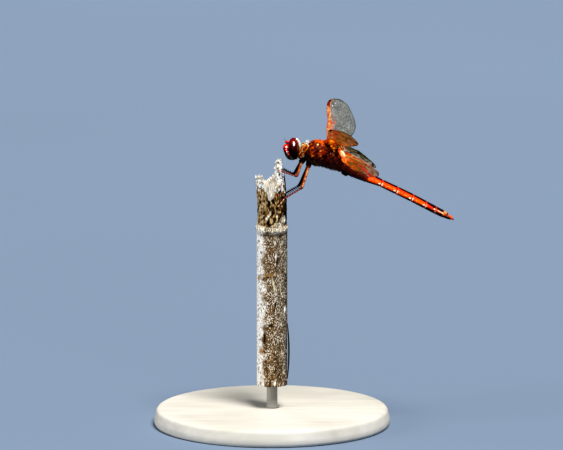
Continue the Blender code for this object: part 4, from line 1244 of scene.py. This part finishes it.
def add_cells(pile, name, wing, side, rng):
    """The net of small cells between the long veins: rows of staggered six-sided cells."""
    starts, ends = [], []
    for vein in ("costa", *VEINS):
        low, high = COSTA_CELLS if vein == "costa" else (VEINS[vein][0][0] + 0.01, VEINS[vein][-1][0] - 0.005)
        ladder = vein in ("costa", "subcosta")
        step = (LADDER_STEP if ladder else CELL_STEP) / wing[2]
        last = {}
        for share in np.arange(low, high, step):
            share = share + rng.uniform(-0.15, 0.15) * step
            found = next_vein(vein, share)
            if found is None:
                continue
            own, (far, other) = vein_at(vein, share), found
            lead, trail = wing_edges(wing, share)
            width = (far - own) * (trail - lead)
            if width < 0.2:
                last = {}
                continue
            rows = 1 if ladder else max(1, round(width / CELL_DEPTH))
            points = {}
            for row in range(rows + 1):
                jut = (CELL_JUT / rows) * (1 if row % 2 else -1) if 0 < row < rows else 0.0
                points[row] = [(share, own + (far - own) * (row / rows - jut)),
                               (share + 0.5 * step, own + (far - own) * (row / rows + jut))]
            for row in range(rows):
                starts.append(points[row][row % 2])
                ends.append(points[row + 1][row % 2])
            for row in range(1, rows):
                starts.append(points[row][0])
                ends.append(points[row][1])
                if last.get("other") == other and last.get("rows") == rows:
                    starts.append(last["points"][row][1])
                    ends.append(points[row][0])
            last = {"other": other, "rows": rows, "points": points}
    starts, ends = (np.clip(np.array(places), 0, (VEIN_END, 1)) for places in (starts, ends))
    share, c = starts.T
    first, second = wing_point(wing, side, share, c), wing_point(wing, side, *ends.T)
    stained = film_tint(name, first, share, c)[:, :3] * 0.85
    tint = mix(vein_tint(share, c, VEIN_WARMTH[name]), stained, 0.75)
    # The near fore wing's cross veins are painted a little lighter: painted light through the wing
    if name == "fore_left":
        tint = unit(tint * 1.05)
    pile.bars(first, second, CROSS_WIDTH, CROSS_HEIGHT, tint)


def far_fore_film(drawn, share, c):
    """Grey-green as seen against the light, flecked with white painted glints."""
    fleck, wide = fuzz(drawn, 2.9, 85.0, 1), fuzz(drawn, 0.42, 15.0)
    tint = mix((64, 66, 58), (140, 142, 136), unit(0.46 + 0.6 * fleck + 0.3 * wide))
    return mix(tint, (255, 255, 255), ease(0.6, 0.66, fuzz(drawn, 1.4, 77.0, 1))), 0.58 + 0.24 * fleck


def near_fore_film(drawn, share, c):
    """Amber and brown, more orange towards the front, painted light to stand for the light through it."""
    spot, wide = fuzz(drawn, 0.9, 5.0), fuzz(drawn, 0.42, 15.0)
    tint = mix((178, 124, 48), (112, 76, 22), unit(0.5 + 2.4 * wide))
    return mix(tint, (206, 88, 6), ease(0.34, 0.16, c + 0.3 * spot)), 0.66 + 0.2 * spot


def near_hind_film(drawn, share, c):
    """Orange and olive with a red streak across, brown behind and pinkish at the outer rear."""
    spot, wide = fuzz(drawn, 0.9, 5.0), fuzz(drawn, 0.42, 15.0)
    outer = ease(0.45, 0.8, share)
    olive = ease(-0.12, 0.04, spot + 0.3 * ease(0.1, 0.35, c + 0.2 * outer))
    mottled = unit(0.5 + 2 * spot)
    streak = bell(share, 0.15 + 0.75 * c + 0.1 * wide, 0.08) * ease(0.25, 0.4, c + 0.2 * spot)
    tint = layers(
        mix((200, 76, 0), (92, 76, 26), olive),
        (mix((84, 66, 50), (160, 134, 114), mottled), ease(0.45, 0.7, c + 0.5 * wide)),
        (mix((110, 62, 44), (196, 130, 110), mottled), ease(0.55, 0.8, c) * outer),
        ((60, 34, 16), bell(share, 0.04 + 0.16 * c, 0.04) * ease(0.3, 0.5, c)),
        (mix((208, 46, 0), (110, 20, 4), ease(0.0, 0.2, spot)), streak))
    return tint, 0.72 - 0.25 * ease(0.5, 0.9, c) + 0.2 * spot


def far_hind_film(drawn, share, c):
    """Pale near the base and olive beyond, with dark zigzags along the span."""
    spot, wave = fuzz(drawn, 0.9, 5.0), fuzz(drawn * (1, 0.22 / FILM_STRETCH, 1), 0.75, 15.0, 2)
    line = unit(bell(wave, 0.02, 0.07) + ease(0.16, 0.22, wave) + bell(wave, -0.2, 0.04))
    pale, dusky = mix((176, 172, 162), (22, 14, 6), line), mix((96, 90, 54), (18, 12, 4), line)
    return mix(pale, dusky, ease(0.4, 0.6, share + 0.3 * spot)), 0.75 + 0.3 * spot


# Each wing's film is painted its own colours after how the light falls through it and how it is seen, though
# the near and far wings are alike
FILMS = {
    "fore_left": near_fore_film, "fore_right": far_fore_film, "hind_left": near_hind_film,
    "hind_right": far_hind_film}
LADDER_TONES = {"hind_left": ((222, 84, 0), (244, 150, 50))}
OTHER_LADDER = ((156, 84, 30), (190, 152, 104))


def film_tint(name, middle, share, c):
    """Colour and alpha: amber near the base and in the strips along the front, and smoky at the tip."""
    drawn = middle * (1, FILM_STRETCH, 1)
    speck, spot = ease(-0.1, 0.1, fuzz(drawn, 1.7, 45.0, 2)), fuzz(drawn, 0.9, 5.0)
    tint, alpha = FILMS[name](drawn, share, c)
    front = ease(0.135, 0.115, c) * ease(0.97, 0.93, share)
    second = ease(0.27, 0.2, c) * ease(0.5, 0.42, share) * (name != "hind_right")
    # the near (left) wings' bases are painted more amber than the far ones': painted light through them
    base = bell(share, 0, 0.16 if name[:4] == "fore" else 0.2) * (1 if name.endswith("left") else 0.6)
    amber = mix((236, 96, 0), (188, 150, 70), ease(0.06, 0.2, spot))
    tint = layers(
        tint,
        (mix(*LADDER_TONES.get(name, OTHER_LADDER), speck), front),
        (mix((176, 66, 2), (206, 160, 100), speck), second * 0.7),
        (mix(amber, (120, 12, 0), ease(-0.08, -0.2, spot)), base))
    for level, cover in ((0.8, front), (0.6, second * 0.6), (0.9, base)):
        alpha = lerp(alpha, level, cover)
    if name == "fore_left":
        away = np.sqrt(((share - 0.11) / 0.1) ** 2 + ((c - 0.15) / 0.11) ** 2)
        tint = layers(tint, ((130, 14, 0), bell(away, 1.15, 0.2)), ((255, 150, 0), ease(1.1, 0.9, away)))
        alpha = lerp(alpha, 1.0, ease(1.4, 1.2, away))
    smoky = unit(ease(0.95, 0.985, share) + bell(c, 1, 0.02) * ease(0.1, 0.3, share))
    tint = mix(tint, (40, 26, 14), smoky * 0.9)
    alpha = lerp(alpha, 0.7, smoky)
    return np.concatenate([tint, np.clip(alpha, 0.05, 1)[..., None]], -1)


def make_film(name, wing, side, matrix):
    """The thin skin of a wing, painted a little lighter below than above to stand for light shining through
    it.
    """
    share = np.sin(pi / 2 * np.linspace(0.012, 1, FILM_ROWS))[:, None] * 0.997
    share, c = np.broadcast_arrays(share, np.linspace(0, 1, FILM_COLUMNS)[None])
    middle = wing_point(wing, side, share, c)
    tint = film_tint(name, middle, share, c)
    # painted light: the underside is lightened, most on the near fore wing
    shine_through = 1.4 if name == "fore_left" else 1.2
    under = unit(tint * (shine_through, shine_through, shine_through, 1.0))
    tint = np.concatenate([tint, under[:, ::-1]], 1)
    grid = slab(middle, FILM_THICKNESS)
    film = single(f"wing_{name}_film", grid, tint, FILM, matrix, "wing", [f"wing_{name}"])
    film.visible_shadow = False


def make_stigma(name, wing, side, matrix):
    """The thick dark cell at the front edge near the tip."""
    share = np.linspace(*STIGMA, 40)[:, None]
    c = np.linspace(0, 1, 10)[None] * np.interp(share, (0.7, 0.9, 0.97), (0.085, 0.1, 0.14))
    share = share + 0 * c
    tint = mix((120, 16, 8), (34, 9, 7), unit(bell(c, 0, 0.02) + ease(0.87, 0.9, share)))
    grid = slab(wing_point(wing, side, share, c), STIGMA_THICKNESS)
    single(f"wing_{name}_stigma", grid, np.concatenate([tint, tint[:, ::-1]], 1), VEIN, matrix, "wing")


def make_wings():
    for name, pose in WING_POSES.items():
        pair, side_name = name.split("_")
        wing, side = WINGS[pair], SIDES[side_name]
        matrix = wing_matrix(wing, pose, side)
        make_film(name, wing, side, matrix)
        pile = Pile()
        add_veins(pile, name, wing, side)
        add_cells(pile, name, wing, side, random.Random(len(name) * 7 + (side > 0)))
        pile.make(f"wing_{name}_veins", VEIN, matrix, "wing").visible_shadow = False
        make_stigma(name, wing, side, matrix)
        make_hinge(name, wing, side, pose)


def make_hinge(name, wing, side, pose):
    """The stalk of each wing: thick vein roots, small plates and skin that run into the thorax."""
    pile = Pile()
    pair = name[:4]
    inward = BODY.inverted() @ wing_matrix(wing, pose, side)
    for c, thick, tone in HINGE_ROOTS:
        out = [inward @ Vector(wing_point(wing, side, s, c)) for s in (0.1, 0.05, 0.015)]
        deep = Vector((out[-1].x * 0.9 - 0.25, side * 1.0, wing[1] - 1.3))
        halfway = out[-1] + (deep - out[-1]) * 0.5 + Vector((0, side * 0.25, 0))
        path, share = resample([*out, halfway, deep], 30)
        tint = mix(tone, (70, 18, 4), ease(0.5, 1, share) + 0.3 * fuzz(path, 2.0))
        pile.tube(path, thick * (0.25 + 0.75 * ease(0, 0.5, share)), tint[:, None], 16)
    if pair == "fore":
        grid = ball(SWELLING_CENTRE, SWELLING_SIZE, 60, 44)
        x, y, z = axes((grid - SWELLING_CENTRE) / SWELLING_SIZE)
        tint = mix((255, 140, 0), (214, 60, 0), ease(0.5, 0.95, np.sqrt(x**2 + z**2) + 0.5 * fuzz(grid, 1.2)))
        grid = relief(grid, 0.08 * fuzz(grid, 1.4))
        pile.grid(np.array([[inward @ point for point in mirrored(ring, side)] for ring in grid]), tint)
    for (x, y, z), size, tone in HINGE_PLATES[pair]:
        grid = ball((x, side * y, z), size, 44, 30)
        away = np.abs(normals_of(grid)[..., 1])
        tint = mix(tone, (44, 12, 4), ease(0.05, 0.3, fuzz(grid, 1.6, 9.0)))
        tint = mix(tint, (120, 24, 2), ease(0.6, 0.2, away) * 0.6)
        pile.grid(relief(grid, 0.1 * fuzz(grid, 2.2)), tint)
    pile.make(f"wing_{name}_hinge", SHELL, BODY, "wing")


# ---------------------------------------------------------------- stage

FLOOR_TONE, FLOOR_REACH = colour(142, 161, 187) * 0.64, 6.0
WORLD_TONE, WORLD_STRENGTH = colour(152, 166, 184), 0.3
LAMP_COLOUR = (1.0, 0.97, 0.92)
# Each lamp's direction, strength and spread in degrees, and whether its gloss and its diffuse light count
LAMPS = (
    ("key", (0.25, -0.36, 0.9), 4.4, 24, True, True), ("side", (-0.9, -0.35, 0.3), 1.6, 30, False, True),
    ("glint", (0.2, -0.27, 0.93), 16.0, 46, True, False),
    ("spark", (-0.58, -0.36, 0.73), 5.0, 25, True, False))
GLINTS = {"glint": ("eye_left_lens", "eye_right_lens"), "spark": ("face_plate",)}
LENS, SENSOR, FRAME_WIDTH, TILT = 400.0, 36.0, 166.1, radians(10)
AIM = Vector((2.8, 0.0, RIM - 14.1))


def make_floor():
    """A plain pale floor that fills the frame behind the model."""
    made, tree, shader = new_material("floor")
    ramp = colour_mix(tree)
    ramp.inputs["A"].default_value = (*FLOOR_TONE * 0.93, 1)
    ramp.inputs["B"].default_value = (*FLOOR_TONE * 1.07, 1)
    tree.links.new(noise_node(tree, 0.002, 2.0), ramp.inputs["Factor"])
    tree.links.new(ramp.outputs["Result"], shader.inputs["Base Color"])
    shader.inputs["Roughness"].default_value = 0.9
    shader.inputs["Specular IOR Level"].default_value = 0.1
    mesh = bpy.data.meshes.new("floor")
    corners = [(x * FLOOR_REACH, y * FLOOR_REACH, 0) for x, y in ((-1, -1), (1, -1), (1, 1), (-1, 1))]
    mesh.from_pydata(corners, [], [(0, 1, 2, 3)])
    mesh.materials.append(made)
    floor = bpy.data.objects.new("floor", mesh)
    floor.visible_glossy = False
    bpy.context.scene.collection.objects.link(floor)


def make_lights(scene):
    """A soft world and four suns, of which two light only the eyes and the face plate."""
    world = bpy.data.worlds.new("studio")
    world.use_nodes = True
    background = world.node_tree.nodes["Background"]
    background.inputs["Color"].default_value = (*WORLD_TONE, 1)
    background.inputs["Strength"].default_value = WORLD_STRENGTH
    world.cycles_visibility.glossy = False
    scene.world = world
    for name, direction, energy, spread, glossy, diffuse in LAMPS:
        light = bpy.data.lights.new(name, "SUN")
        light.energy = energy
        light.angle = radians(spread)
        light.color = LAMP_COLOUR
        lamp = bpy.data.objects.new(name, light)
        lamp.visible_glossy, lamp.visible_diffuse = glossy, diffuse
        if name in GLINTS:
            group = bpy.data.collections.new(name)
            for piece in GLINTS[name]:
                group.objects.link(bpy.data.objects[piece])
            lamp.light_linking.receiver_collection = group
        lamp.rotation_euler = Vector(direction).to_track_quat("Z", "Y").to_euler()
        scene.collection.objects.link(lamp)


def make_camera(scene):
    camera = bpy.data.cameras.new("camera")
    camera.lens = LENS
    camera.sensor_width = SENSOR
    camera.clip_end = 20
    eye = bpy.data.objects.new("camera", camera)
    distance = FRAME_WIDTH / SENSOR * LENS
    eye.location = Vector((AIM.x, AIM.y - distance * cos(TILT), AIM.z + distance * sin(TILT))) * MM
    eye.rotation_euler = (radians(90) - TILT, 0, 0)
    scene.collection.objects.link(eye)
    scene.camera = eye


def make_stage():
    scene = bpy.context.scene
    scene.view_settings.view_transform = "Standard"
    scene.view_settings.look = "Medium High Contrast"
    make_floor()
    make_lights(scene)
    make_camera(scene)


make_stand()
make_reed()
make_head()
make_thorax()
make_abdomen()
make_legs()
make_wings()
make_stage()
